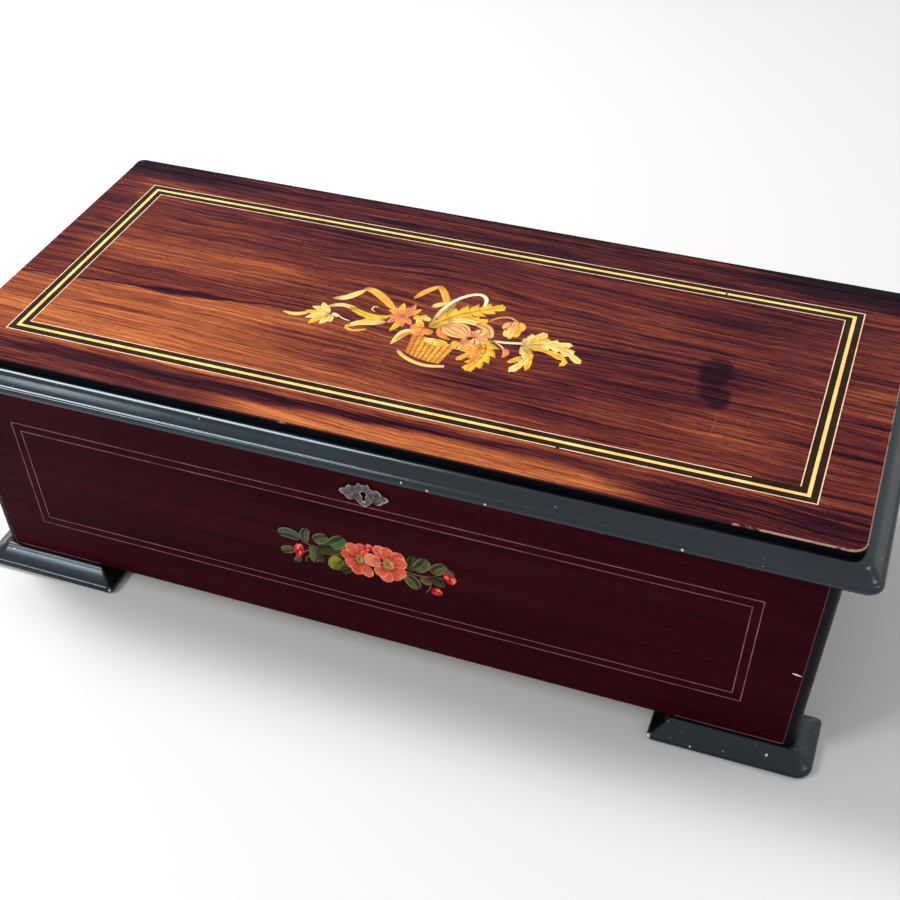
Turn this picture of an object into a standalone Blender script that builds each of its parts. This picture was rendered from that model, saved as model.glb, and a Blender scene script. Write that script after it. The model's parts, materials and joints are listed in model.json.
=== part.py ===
"""Lever-wound cylinder music box: an inlaid case on four moulded feet, a hinged lid and the movement inside.

Metres, +Z up, +X to the right and +Y to the back. The origin is on the floor under the middle of the box.
"""

import math

import bmesh
import bpy
from mathutils import Vector

MM = 0.001
SEAT = 0.3 * MM
RUNNING = 0.15 * MM
SHARP = math.radians(35)
PAST = 1.0 * MM
BORE_SIDES = 20
PIN_SIDES = 12

# Case
CASE_LENGTH = 498.0 * MM
CASE_DEPTH = 233.6 * MM
CASE_HEIGHT = 125.0 * MM
CASE_BOARD = 12.0 * MM
CASE_CORNER = 6.0 * MM
BOTTOM_BOARD = 10.0 * MM
PARTITION_BOARD = 6.0 * MM
PARTITION_DROP_SHARE = 0.12
HOLE_MARGIN = 1.0 * MM
LEVER_WELL = 58.0 * MM
CONTROL_WELL = 40.0 * MM

# Feet
FOOT_LENGTH = 66.5 * MM
FOOT_DEPTH = 20.0 * MM
FOOT_HEIGHT = 12.0 * MM
FOOT_PROJECTION = 12.3 * MM
FOOT_CORNER = 2.5 * MM
FOOT_OUTER_CORNER = 9.0 * MM

# Lid
LID_SIDE_OVERHANG = 5.5 * MM
LID_FRONT_SETBACK = 6.4 * MM
LID_THICKNESS = 16.4 * MM
LID_CORNER = 7.5 * MM
LID_BACK_STRIP = 9.0 * MM
LID_BACK_STEP = 0.1 * MM
LID_BACK_CORNER = 4.0 * MM
LID_EASED_EDGE = 0.6 * MM
MOULDING_PROJECTION = 12.0 * MM
MOULDING_CORNER = 7.5 * MM
MOULDING_DROP = 5.4 * MM

# Hinges
HINGE_LENGTH = 50.0 * MM
HINGE_INSET = 110.0 * MM
HINGE_LEAF = 1.2 * MM
HINGE_LEAF_WIDTH = 11.0 * MM
KNUCKLE_RADIUS = 2.5 * MM
KNUCKLE_COUNT = 5
HINGE_PIN_RADIUS = 1.2 * MM

# Lock
KEYHOLE_X = 3.4 * MM
KEYHOLE_DROP = 13.1 * MM
KEYHOLE_RADIUS = 2.4 * MM
KEY_SLOT_WIDTH = 2.4 * MM
KEY_SLOT_LENGTH = 7.0 * MM
ESCUTCHEON_WIDTH = 28.4 * MM
ESCUTCHEON_HEIGHT = 16.2 * MM
ESCUTCHEON_THICKNESS = 1.2 * MM
ESCUTCHEON_DROP = 1.0 * MM
ESCUTCHEON_POINTS = 48
LOCK_WIDTH = 46.0 * MM
LOCK_HEIGHT = 32.0 * MM
LOCK_DEPTH = 12.0 * MM
BOLT_LENGTH = 12.0 * MM
BOLT_SIDE = 4.0 * MM
BOLT_THROW = 6.0 * MM
KEY_WAY_DEPTH = 2.0 * MM
STAPLE_DROP = 8.0 * MM
STAPLE_BAR = 1.3 * MM
STAPLE_OFFSET = 4.0 * MM
BOLT_GAP = 1.0 * MM
POCKET_MARGIN = 0.75 * MM
STRIKE_LENGTH = 40.0 * MM

# Bedplate and bridges
BED_LIFT_SHARE = 0.08
BED_THICKNESS = 6.0 * MM
BED_END_GAP = 4.0 * MM
BED_FRONT_GAP = 16.0 * MM
BED_BACK_GAP = 12.0 * MM
BED_LEG = 13.0 * MM
BED_LEG_INSET = 1.0 * MM
AXIS_RISE = 33.0 * MM
BRIDGE_THICKNESS = 5.0 * MM
BRIDGE_BASE = 24.0 * MM
BRIDGE_HEAD = 7.5 * MM
BRIDGE_FOOT = 4.0 * MM
BRIDGE_WAIST = 0.62
BRIDGE_EDGE = 2.0 * MM
BRIDGE_GAP = 2.5 * MM

# Spring barrel and winding work
BARREL_RADIUS = 25.0 * MM
BARREL_WIDTH = 34.0 * MM
BARREL_WALL = 2.0 * MM
BARREL_GAP = 1.5 * MM
GREAT_TEETH = 64
GREAT_MODULE = 0.9 * MM
GREAT_WIDTH = 4.0 * MM
ARBOR_RADIUS = 4.0 * MM
RATCHET_TEETH = 20
CLICK_WHEEL_RADIUS = 13.0 * MM
LEVER_RATCHET_RADIUS = 12.0 * MM
RATCHET_TOOTH = 1.6 * MM
RATCHET_WIDTH = 3.0 * MM
LEVER_LENGTH = 57.0 * MM
LEVER_THICKNESS = 5.0 * MM
LEVER_HUB = 9.0 * MM
LEVER_NECK = 4.6 * MM
LEVER_RATCHET_GAP = 5.0 * MM
LEVER_GAP = 2.0 * MM
ARBOR_HEAD = 1.0 * MM
LEVER_LEAN = math.radians(75)
HANDLE_LENGTH = 28.0 * MM
HANDLE_RADIUS = 6.0 * MM
PAWL_LENGTH = 11.0 * MM
PAWL_STUD = 1.5 * MM
PAWL_HEAD = 3.2 * MM
CLICK_RISE = 6.0 * MM
CLICK_SETBACK = 7.2 * MM
CLICK_REACH = 3.0 * MM

# Cylinder
CYLINDER_TO_BACK = 86.0 * MM
CYLINDER_RADIUS = 26.0 * MM
CYLINDER_WALL = 2.0 * MM
CYLINDER_DISH = 5.0 * MM
CYLINDER_ARBOR_RADIUS = 3.0 * MM
CYLINDER_SHIFT = 2.0 * MM
PINION_TEETH = 16
PINION_WIDTH = 5.0 * MM
TRAIN_MODULE = 0.7 * MM
CYLINDER_WHEEL_TEETH = 72
CYLINDER_WHEEL_WIDTH = 3.0 * MM
SNAIL_RADIUS = 8.0 * MM
SNAIL_OFFSET = 15.0 * MM
SNAIL_WIDTH = 3.0 * MM
SNAIL_STEPS = 6
SNAIL_DROP = 0.4
SNAIL_GAP = 0.8 * MM

# Comb
COMB_TEETH = 72
COMB_THICKNESS = 2.0 * MM
COMB_DEPTH = 55.0 * MM
COMB_SLOT = 0.5 * MM
COMB_CLEARANCE = 1.3 * MM
BASS_TOOTH = 34.0 * MM
TREBLE_TOOTH = 16.0 * MM
COMB_END_MARGIN = 4.0 * MM
COMB_BASE_DEPTH = 24.0 * MM
COMB_BASE_FOOT = 5.0 * MM

# Governor
FIRST_PINION_TEETH = 12
FIRST_PINION_WIDTH = 4.0 * MM
SECOND_MODULE = 0.6 * MM
FIRST_WHEEL_TEETH = 30
SECOND_PINION_TEETH = 12
SCREW_MODULE = 0.8 * MM
SCREW_WHEEL_TEETH = 20
SCREW_RADIUS = 2.2 * MM
SCREW_TURNS = 5
SCREW_BODY_TURNS = 6.5
GOVERNOR_WHEEL_WIDTH = 2.0 * MM
GOVERNOR_PLATE = 2.5 * MM
GOVERNOR_ROOM = 20.0 * MM
GOVERNOR_ARBOR = 1.2 * MM
GOVERNOR_HEADROOM = 12.0 * MM
GOVERNOR_END_GAP = 14.6 * MM
GOVERNOR_FOOT = 3.0 * MM
GOVERNOR_ARM = 8.0 * MM
GOVERNOR_WHEEL_GAP = 3.0 * MM
SCREW_LIFT = 1.5 * MM
SCREW_SIDES = 12
GOVERNOR_MARGIN = 8.0 * MM
SECOND_TILT = math.radians(20)
FLY_RADIUS = 8.5 * MM
FLY_GAP = 2.0 * MM
FLY_SHEET = 0.6 * MM
FLY_DROP = 8.0 * MM
FLY_HUB = 2.4 * MM

# Control levers
CONTROL_PLATE = 2.0 * MM
CONTROL_SHAFT = 1.8 * MM
CONTROL_HEADROOM = 6.7 * MM
CONTROL_ARM_THICKNESS = 2.5 * MM
CONTROL_ARM_GAP = 2.0 * MM
CONTROL_KNOB = 5.0 * MM
CONTROL_MARGIN = 8.5 * MM
STOP_FINGER = 12.0 * MM
STOP_GAP = 4.5 * MM
CHANGE_SETBACK = 7.0 * MM
CHANGE_RISE = 25.0 * MM
FINGER_WIDTH = 1.6 * MM
FINGER_THICKNESS = 2.5 * MM
CHANGE_FINGER = 15.0 * MM

# Glass cover
GLASS_FRAME_WIDTH = 14.0 * MM
GLASS_FRAME_HEIGHT = 6.0 * MM
GLASS_THICKNESS = 2.5 * MM
GLASS_LIP = 4.0 * MM
GLASS_EASED_EDGE = 1.0 * MM
GLASS_LOCK_GAP = 1.5 * MM

# Places worked out from the sizes: the case
TOTAL_DEPTH = CASE_DEPTH + FOOT_PROJECTION + SEAT + 2 * KNUCKLE_RADIUS
BACK_Y = TOTAL_DEPTH / 2 - SEAT - 2 * KNUCKLE_RADIUS
FRONT_Y = BACK_Y - CASE_DEPTH
SIDE_X = CASE_LENGTH / 2
CASE_Z = FOOT_HEIGHT
RIM_Z = CASE_Z + CASE_HEIGHT
INNER_X = SIDE_X - CASE_BOARD
INNER_FRONT = FRONT_Y + CASE_BOARD
INNER_BACK = BACK_Y - CASE_BOARD
FLOOR_Z = CASE_Z + BOTTOM_BOARD
LEFT_PARTITION_X = -INNER_X + LEVER_WELL
RIGHT_PARTITION_X = INNER_X - CONTROL_WELL - PARTITION_BOARD
PARTITION_TOP = RIM_Z - PARTITION_DROP_SHARE * CASE_HEIGHT
LID_Z = RIM_Z + SEAT
LID_TOP = LID_Z + LID_THICKNESS
LID_LENGTH = CASE_LENGTH + 2 * LID_SIDE_OVERHANG
LID_DEPTH = CASE_DEPTH - LID_FRONT_SETBACK
LID_FRONT = BACK_Y - LID_DEPTH
HINGE_Y = BACK_Y + SEAT + KNUCKLE_RADIUS
HINGE_Z = RIM_Z + SEAT / 2
KEYHOLE_Z = RIM_Z - KEYHOLE_DROP

# Places worked out from the sizes: the movement
BED_BOTTOM = FLOOR_Z + SEAT + BED_LIFT_SHARE * CASE_HEIGHT
BED_TOP = BED_BOTTOM + BED_THICKNESS
BED_LEFT = LEFT_PARTITION_X + PARTITION_BOARD + BED_END_GAP
BED_RIGHT = RIGHT_PARTITION_X - BED_END_GAP
BED_FRONT = INNER_FRONT + BED_FRONT_GAP
BED_BACK = INNER_BACK - BED_BACK_GAP
AXIS_Z = BED_TOP + AXIS_RISE
CYLINDER_Y = INNER_BACK - CYLINDER_TO_BACK
BARREL_Y = CYLINDER_Y + (GREAT_TEETH + PINION_TEETH) * GREAT_MODULE / 2
LEFT_BRIDGE_X = BED_LEFT + BRIDGE_EDGE
LEVER_RATCHET_X = LEFT_PARTITION_X - LEVER_RATCHET_GAP - RATCHET_WIDTH
LEVER_X = LEVER_RATCHET_X - LEVER_GAP - LEVER_THICKNESS
CLICK_WHEEL_X = LEFT_BRIDGE_X + BRIDGE_THICKNESS + BARREL_GAP
BARREL_X = CLICK_WHEEL_X + RATCHET_WIDTH + BARREL_GAP
GREAT_X = BARREL_X + BARREL_WIDTH + SEAT
BARREL_BRIDGE_X = GREAT_X + GREAT_WIDTH + BARREL_GAP
PINION_X = GREAT_X + (GREAT_WIDTH - PINION_WIDTH) / 2
CYLINDER_BRIDGE_X = PINION_X + PINION_WIDTH + BRIDGE_GAP
CYLINDER_X = CYLINDER_BRIDGE_X + BRIDGE_THICKNESS + BRIDGE_GAP
END_BRIDGE_X = BED_RIGHT - GOVERNOR_END_GAP - GOVERNOR_ROOM - 2 * GOVERNOR_PLATE
WHEEL_X = END_BRIDGE_X - BRIDGE_GAP - CYLINDER_WHEEL_WIDTH
SNAIL_X = WHEEL_X - SEAT - SNAIL_WIDTH
CYLINDER_END = SNAIL_X - SNAIL_GAP - CYLINDER_SHIFT
CYLINDER_LENGTH = CYLINDER_END - CYLINDER_X
COMB_TIP_Y = CYLINDER_Y - CYLINDER_RADIUS - COMB_CLEARANCE
COMB_FRONT_Y = COMB_TIP_Y - COMB_DEPTH
COMB_Z = AXIS_Z - COMB_THICKNESS / 2
COMB_X = CYLINDER_X + COMB_END_MARGIN
COMB_LENGTH = CYLINDER_LENGTH - 2 * COMB_END_MARGIN

# Places worked out from the sizes: the governor and the controls
FIRST_Y = CYLINDER_Y + (CYLINDER_WHEEL_TEETH + FIRST_PINION_TEETH) * TRAIN_MODULE / 2
SECOND_SPAN = (FIRST_WHEEL_TEETH + SECOND_PINION_TEETH) * SECOND_MODULE / 2
SECOND_Y = FIRST_Y + SECOND_SPAN * math.cos(SECOND_TILT)
SECOND_Z = AXIS_Z + SECOND_SPAN * math.sin(SECOND_TILT)
SCREW_WHEEL_RADIUS = SCREW_WHEEL_TEETH * SCREW_MODULE / 2
SCREW_Y = SECOND_Y + SCREW_WHEEL_RADIUS + SCREW_RADIUS
GOVERNOR_X = END_BRIDGE_X
GOVERNOR_INNER = GOVERNOR_X + GOVERNOR_PLATE
GOVERNOR_OUTER = GOVERNOR_INNER + GOVERNOR_ROOM
SCREW_X = (GOVERNOR_INNER + GOVERNOR_OUTER) / 2
SCREW_LEAD = 2 * math.pi * SCREW_WHEEL_RADIUS / SCREW_WHEEL_TEETH
SCREW_HALF = SCREW_LEAD * SCREW_BODY_TURNS / 2
GLASS_Z = PARTITION_TOP + SEAT
GOVERNOR_TOP = GLASS_Z - GOVERNOR_HEADROOM
GOVERNOR_FRONT = FIRST_Y - GOVERNOR_MARGIN - PAST
GOVERNOR_BACK = SCREW_Y + GOVERNOR_MARGIN
FLY_TOP = GOVERNOR_TOP - FLY_DROP
FLY_HEIGHT = FLY_TOP - FLY_GAP - SECOND_Z - SCREW_HALF
STOP_Y = SCREW_Y + FLY_RADIUS + STOP_GAP
STOP_Z = FLY_TOP - FLY_HEIGHT / 2 - STOP_FINGER
CHANGE_Y = CYLINDER_Y - CYLINDER_WHEEL_TEETH * TRAIN_MODULE / 2 - CHANGE_SETBACK
CHANGE_Z = AXIS_Z + CHANGE_RISE
CONTROL_ARM = RIM_Z - CONTROL_HEADROOM - CHANGE_Z
CONTROL_X = RIGHT_PARTITION_X + PARTITION_BOARD + SEAT
CONTROL_ARM_X = CONTROL_X + CONTROL_PLATE + CONTROL_ARM_GAP
GLASS_FRONT = INNER_FRONT + SEAT + LOCK_DEPTH + GLASS_LOCK_GAP

FINISHES = {
    "mahogany": ((0.055, 0.012, 0.014), 0.35, 0.0),
    "rosewood": ((0.28, 0.09, 0.045), 0.3, 0.0),
    "ebonised": ((0.02, 0.024, 0.032), 0.3, 0.0),
    "inner_wood": ((0.33, 0.19, 0.1), 0.6, 0.0),
    "nickel": ((0.5, 0.5, 0.49), 0.35, 1.0),
    "brass": ((0.72, 0.5, 0.2), 0.3, 1.0),
    "steel": ((0.55, 0.56, 0.58), 0.25, 1.0),
    "iron": ((0.28, 0.26, 0.22), 0.5, 1.0),
    "glass": ((0.8, 0.9, 0.88), 0.05, 0.0),
}


def clear_scene():
    for thing in list(bpy.data.objects):
        bpy.data.objects.remove(thing)


def finish_of(name):
    """The named finish as a Principled material, made once."""
    made = bpy.data.materials.get(name)
    if made:
        return made
    colour, roughness, metallic = FINISHES[name]
    made = bpy.data.materials.new(name)
    made.use_nodes = True
    shader = made.node_tree.nodes["Principled BSDF"]
    shader.inputs["Base Color"].default_value = (*colour, 1.0)
    shader.inputs["Roughness"].default_value = roughness
    shader.inputs["Metallic"].default_value = metallic
    made.diffuse_color = (*colour, 1.0)
    return made


def place(axis, along, u, v):
    """A point at this distance along an axis, with u and v across it in X, Y, Z order."""
    if axis == "X":
        return Vector((along, u, v))
    if axis == "Y":
        return Vector((u, along, v))
    return Vector((u, v, along))


def circle(radius, count, centre=(0.0, 0.0), start=0.0):
    """Points round a circle in the plane."""
    step = 2 * math.pi / count
    return [
        (centre[0] + radius * math.cos(start + i * step), centre[1] + radius * math.sin(start + i * step))
        for i in range(count)
    ]


def arc(centre, radius, start, end, count):
    """Points along an arc, both ends included, angles in degrees."""
    angles = [math.radians(start + (end - start) * i / (count - 1)) for i in range(count)]
    return [(centre[0] + radius * math.cos(a), centre[1] + radius * math.sin(a)) for a in angles]


def pivot(name, location, lean=0.0):
    """An empty on a joint's axis, leaned about X."""
    empty = bpy.data.objects.new(name, None)
    empty.location = location
    empty.rotation_euler.x = lean
    empty.empty_display_size = 0.01
    bpy.context.scene.collection.objects.link(empty)
    bpy.context.view_layer.update()
    return empty


def add(name, bm, finish, parent=None, local=False):
    """Turns a bmesh into an object, carried by its joint's empty where it moves."""
    bmesh.ops.recalc_face_normals(bm, faces=bm.faces)
    mesh = bpy.data.meshes.new(name)
    bm.to_mesh(mesh)
    bm.free()
    mesh.shade_smooth()
    mesh.set_sharp_from_angle(angle=SHARP)
    mesh.materials.append(finish_of(finish))
    made = bpy.data.objects.new(name, mesh)
    bpy.context.scene.collection.objects.link(made)
    if parent:
        made.parent = parent
        if not local:
            made.matrix_parent_inverse = parent.matrix_world.inverted()
    return made


def helper(made, target):
    """Hides a shape that only cuts or joins another, and carries it with that one."""
    made.hide_render = True
    made.display_type = "WIRE"
    if target.parent and not made.parent:
        made.parent = target.parent
        made.matrix_parent_inverse = target.matrix_parent_inverse
    return made


def combine(target, operation, shapes):
    for shape in shapes:
        helper(shape, target)
        modifier = target.modifiers.new(operation.lower(), "BOOLEAN")
        modifier.operation = operation
        modifier.solver = "EXACT"
        modifier.object = shape
    return target


def cut(target, *shapes):
    return combine(target, "DIFFERENCE", shapes)


def fuse(target, *shapes):
    return combine(target, "UNION", shapes)


def block(name, low, high, finish, parent=None, local=False):
    """A straight board or plate between two corners."""
    bm = bmesh.new()
    bmesh.ops.create_cube(bm, size=1.0)
    size = Vector(high) - Vector(low)
    middle = (Vector(high) + Vector(low)) / 2
    bmesh.ops.scale(bm, vec=size, verts=bm.verts)
    bmesh.ops.translate(bm, vec=middle, verts=bm.verts)
    return add(name, bm, finish, parent, local)


def prism(name, outline, axis, start, end, finish, parent=None, local=False):
    """A flat outline, extruded along an axis."""
    bm = bmesh.new()
    face = bm.faces.new([bm.verts.new(place(axis, start, u, v)) for u, v in outline])
    lifted = bmesh.ops.extrude_face_region(bm, geom=[face])
    moved = [item for item in lifted["geom"] if isinstance(item, bmesh.types.BMVert)]
    bmesh.ops.translate(bm, vec=place(axis, end - start, 0, 0), verts=moved)
    return add(name, bm, finish, parent, local)


def ring_prism(name, outline, hole, axis, start, end, finish, parent=None, local=False):
    """A flat outline with one hole, extruded along an axis."""
    bm = bmesh.new()
    edges = []
    for loop in (outline, hole):
        verts = [bm.verts.new(place(axis, start, u, v)) for u, v in loop]
        edges += [bm.edges.new((verts[i - 1], verts[i])) for i in range(len(verts))]
    faces = bmesh.ops.bridge_loops(bm, edges=edges)["faces"]
    lifted = bmesh.ops.extrude_face_region(bm, geom=faces)
    moved = [item for item in lifted["geom"] if isinstance(item, bmesh.types.BMVert)]
    bmesh.ops.translate(bm, vec=place(axis, end - start, 0, 0), verts=moved)
    return add(name, bm, finish, parent, local)


def rod(name, axis, centre, radius, start, end, finish, sides=24, parent=None, local=False):
    """A round bar along an axis."""
    return prism(name, circle(radius, sides, centre), axis, start, end, finish, parent, local)


def turned(name, profile, axis, centre, finish, sides=32, parent=None, local=False):
    """A lathe shape: (distance along the axis, radius) points, spun round the axis."""
    bm = bmesh.new()
    points = [place(axis, along, centre[0] + radius, centre[1]) for along, radius in profile]
    verts = [bm.verts.new(point) for point in points]
    edges = [bm.edges.new((verts[i], verts[i + 1])) for i in range(len(verts) - 1)]
    if profile[0][1] > 0 and profile[-1][1] > 0:
        edges.append(bm.edges.new((verts[-1], verts[0])))
    bmesh.ops.spin(
        bm,
        geom=verts + edges,
        cent=place(axis, 0, *centre),
        axis=place(axis, 1, 0, 0),
        angle=2 * math.pi,
        steps=sides,
        use_merge=True,
    )
    bmesh.ops.remove_doubles(bm, verts=bm.verts, dist=0.001 * MM)
    return add(name, bm, finish, parent, local)


def swept(name, stations, profile, finish, round_path=False, round_profile=True, parent=None):
    """A moulding: its (offset outwards, height) profile set at each (point, outward direction) station.

    With round_path the run closes on itself. Without round_profile the first and last profile points bound
    a flat top and a flat underside.
    """
    bm = bmesh.new()
    rings = []
    for base, out in stations:
        ring = []
        for offset, height in profile:
            ring.append(bm.verts.new((base[0] + out[0] * offset, base[1] + out[1] * offset, height)))
        rings.append(ring)
    pairs = len(rings) if round_path else len(rings) - 1
    steps = len(profile) if round_profile else len(profile) - 1
    for i in range(pairs):
        here = rings[i]
        after = rings[(i + 1) % len(rings)]
        for j in range(steps):
            k = (j + 1) % len(profile)
            bm.faces.new((here[j], here[k], after[k], after[j]))
    if not round_path:
        bm.faces.new(rings[0])
        bm.faces.new(rings[-1])
    elif not round_profile:
        bm.faces.new([ring[0] for ring in rings])
        bm.faces.new([ring[-1] for ring in rings])
    return add(name, bm, finish, parent)


def corner_stations(x, y, radius, start, end, count, growth=1.0):
    """Stations round a quarter corner, with the centre of its round at x, y, angles in degrees.

    The corner's radius grows by this share of a profile's offset: 1 keeps every line about one centre, and
    0 gives all of them the same radius.
    """
    quarter = math.radians(90 * math.floor((start + end) / 180) + 45)
    square = (math.copysign(1.0, math.cos(quarter)), math.copysign(1.0, math.sin(quarter)))
    made = []
    for turn in arc((0.0, 0.0), 1.0, start, end, count):
        out = tuple(growth * round_way + (1 - growth) * way for round_way, way in zip(turn, square))
        made.append(((x + radius * turn[0], y + radius * turn[1]), out))
    return made


def rectangle_stations(low, high, radii, count=4, growth=1.0):
    """Stations round a rectangle, counter-clockwise from its low corner. A corner of radius 0 is mitred."""
    centres = (
        (low[0] + radii[0], low[1] + radii[0], 180),
        (high[0] - radii[1], low[1] + radii[1], 270),
        (high[0] - radii[2], high[1] - radii[2], 0),
        (low[0] + radii[3], high[1] - radii[3], 90),
    )
    made = []
    for (x, y, start), radius in zip(centres, radii):
        if radius:
            made += corner_stations(x, y, radius, start, start + 90, count, growth)
        else:
            angle = math.radians(start + 45)
            made.append(((x, y), (math.copysign(1.0, math.cos(angle)), math.copysign(1.0, math.sin(angle)))))
    return made


def gear_outline(teeth, module, tooth_at=0.0, centre=(0.0, 0.0), thick=0.42):
    """A spur gear's outline, with the middle of one tooth at the angle tooth_at."""
    pitch_radius = teeth * module / 2
    levels = ((-1.2, 1.45), (0.9, 0.5)) if teeth > 20 else ((-1.2, 1.3), (0.0, 1.0), (0.9, 0.42))
    flank = [(pitch_radius + lift * module, math.pi / teeth * thick * share) for lift, share in levels]
    outline = []
    for i in range(teeth):
        middle = tooth_at + 2 * math.pi * i / teeth
        sides = [(radius, middle - half) for radius, half in flank]
        sides += [(radius, middle + half) for radius, half in reversed(flank)]
        for radius, angle in sides:
            outline.append((centre[0] + radius * math.cos(angle), centre[1] + radius * math.sin(angle)))
    return outline


def ratchet_outline(teeth, radius, depth, centre=(0.0, 0.0), start=0.0):
    """A ratchet's outline: each tooth rises slowly and drops straight in."""
    outline = []
    for i in range(teeth):
        angle = start + 2 * math.pi * i / teeth
        for level in (radius - depth, radius):
            outline.append((centre[0] + level * math.cos(angle), centre[1] + level * math.sin(angle)))
    return outline


def pawl_outline(hinge, nose, head):
    """A pawl in the plane: a round head about its stud, tapering to its nose."""
    heading = math.degrees(math.atan2(nose[1] - hinge[1], nose[0] - hinge[0]))
    return arc(hinge, head, heading + 75, heading + 285, 9) + [nose]


def front_panel_outline():
    """The front board's plan, with its outer corners rounded."""
    span = SIDE_X - CASE_CORNER
    centre_y = FRONT_Y + CASE_CORNER
    outline = [(SIDE_X, INNER_FRONT), (-SIDE_X, INNER_FRONT)]
    outline += arc((-span, centre_y), CASE_CORNER, 180, 270, 6)
    outline += arc((span, centre_y), CASE_CORNER, 270, 360, 6)
    return outline


def case_boards():
    """Front, back, ends, bottom and partitions."""
    boards = [
        prism("front_panel", front_panel_outline(), "Z", CASE_Z, RIM_Z, "mahogany"),
        block("back_panel", (-SIDE_X, INNER_BACK, CASE_Z), (SIDE_X, BACK_Y, RIM_Z), "mahogany"),
    ]
    for name, x in (("left_end", -SIDE_X), ("right_end", INNER_X)):
        low = (x, INNER_FRONT + SEAT, CASE_Z)
        high = (x + CASE_BOARD, INNER_BACK - SEAT, RIM_Z)
        boards.append(block(name, low, high, "mahogany"))
    low = (-INNER_X + SEAT, INNER_FRONT + SEAT, CASE_Z)
    high = (INNER_X - SEAT, INNER_BACK - SEAT, FLOOR_Z)
    block("bottom_board", low, high, "inner_wood")
    through = (FRONT_Y - PAST, INNER_FRONT + PAST)
    keyhole = rod("keyhole_cut", "Y", (KEYHOLE_X, KEYHOLE_Z), KEYHOLE_RADIUS, *through, "nickel", PIN_SIDES)
    slot = block(
        "key_slot_cut",
        (KEYHOLE_X - KEY_SLOT_WIDTH / 2, through[0], KEYHOLE_Z - KEY_SLOT_LENGTH),
        (KEYHOLE_X + KEY_SLOT_WIDTH / 2, through[1], KEYHOLE_Z),
        "nickel",
    )
    cut(boards[0], keyhole, slot)
    for name, x in (("left_partition", LEFT_PARTITION_X), ("right_partition", RIGHT_PARTITION_X)):
        low = (x, INNER_FRONT + SEAT, FLOOR_Z + SEAT)
        high = (x + PARTITION_BOARD, INNER_BACK - SEAT, PARTITION_TOP)
        boards.append(block(name, low, high, "inner_wood"))
    through = (LEFT_PARTITION_X - PAST, LEFT_PARTITION_X + PARTITION_BOARD + PAST)
    hole_radius = ARBOR_RADIUS + HOLE_MARGIN
    cut(boards[4], rod("arbor_hole_cut", "X", (BARREL_Y, AXIS_Z), hole_radius, *through, "nickel", PIN_SIDES))
    through = (RIGHT_PARTITION_X - PAST, RIGHT_PARTITION_X + PARTITION_BOARD + PAST)
    hole_radius = CONTROL_SHAFT + HOLE_MARGIN
    for name, y, z in (("stop_hole_cut", STOP_Y, STOP_Z), ("change_hole_cut", CHANGE_Y, CHANGE_Z)):
        cut(boards[5], rod(name, "X", (y, z), hole_radius, *through, "nickel", PIN_SIDES))
    return boards


def foot_profile():
    """The feet's (offset, height) section, from the case's underside down to the floor."""
    top = FOOT_HEIGHT - SEAT
    reach = FOOT_PROJECTION
    return [
        (0.0, top),
        (0.12 * reach, top),
        (0.26 * reach, 0.93 * top),
        (0.52 * reach, 0.66 * top),
        (0.84 * reach, 0.42 * top),
        (0.96 * reach, 0.33 * top),
        (reach, 0.2 * top),
        (0.97 * reach, 0.06 * top),
        (0.9 * reach, 0.0),
    ]


def feet():
    """Four feet, moulded and mitred on their four sides. The front ones' outer corners are rounded, and the
    back pair are flat behind.
    """
    profile = foot_profile()
    growth = (FOOT_OUTER_CORNER - FOOT_CORNER) / FOOT_PROJECTION
    for side, sign in (("left", -1), ("right", 1)):
        for row in ("front", "back"):
            outer = sign * SIDE_X
            inner = outer - sign * FOOT_LENGTH
            low_y = FRONT_Y if row == "front" else BACK_Y - FOOT_DEPTH
            low = (min(outer, inner), low_y)
            high = (max(outer, inner), low_y + FOOT_DEPTH)
            rounds = [0.0, 0.0, 0.0, 0.0]
            if row == "front":
                rounds[0 if side == "left" else 1] = FOOT_CORNER
            stations = rectangle_stations(low, high, rounds, 5, growth)
            foot = swept(f"foot_{row}_{side}", stations, profile, "ebonised", True, False)
            if row == "back":
                reach = 2 * FOOT_PROJECTION
                flat = block(
                    f"foot_{side}_back_cut",
                    (low[0] - reach, BACK_Y, -FOOT_HEIGHT),
                    (high[0] + reach, BACK_Y + reach, 2 * FOOT_HEIGHT),
                    "ebonised",
                )
                cut(foot, flat)


def moulding_profile():
    """The lid moulding's (offset, height) section, clockwise from its shoulder against the board."""
    top = LID_TOP - MOULDING_DROP
    depth = top - LID_Z
    reach = MOULDING_PROJECTION
    return [
        (SEAT, top),
        (0.12 * reach, top),
        (0.26 * reach, top - 0.07 * depth),
        (0.54 * reach, top - 0.3 * depth),
        (0.84 * reach, top - 0.5 * depth),
        (0.95 * reach, top - 0.58 * depth),
        (reach, top - 0.72 * depth),
        (0.97 * reach, top - 0.9 * depth),
        (0.88 * reach, LID_Z),
        (SEAT, LID_Z),
    ]


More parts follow.
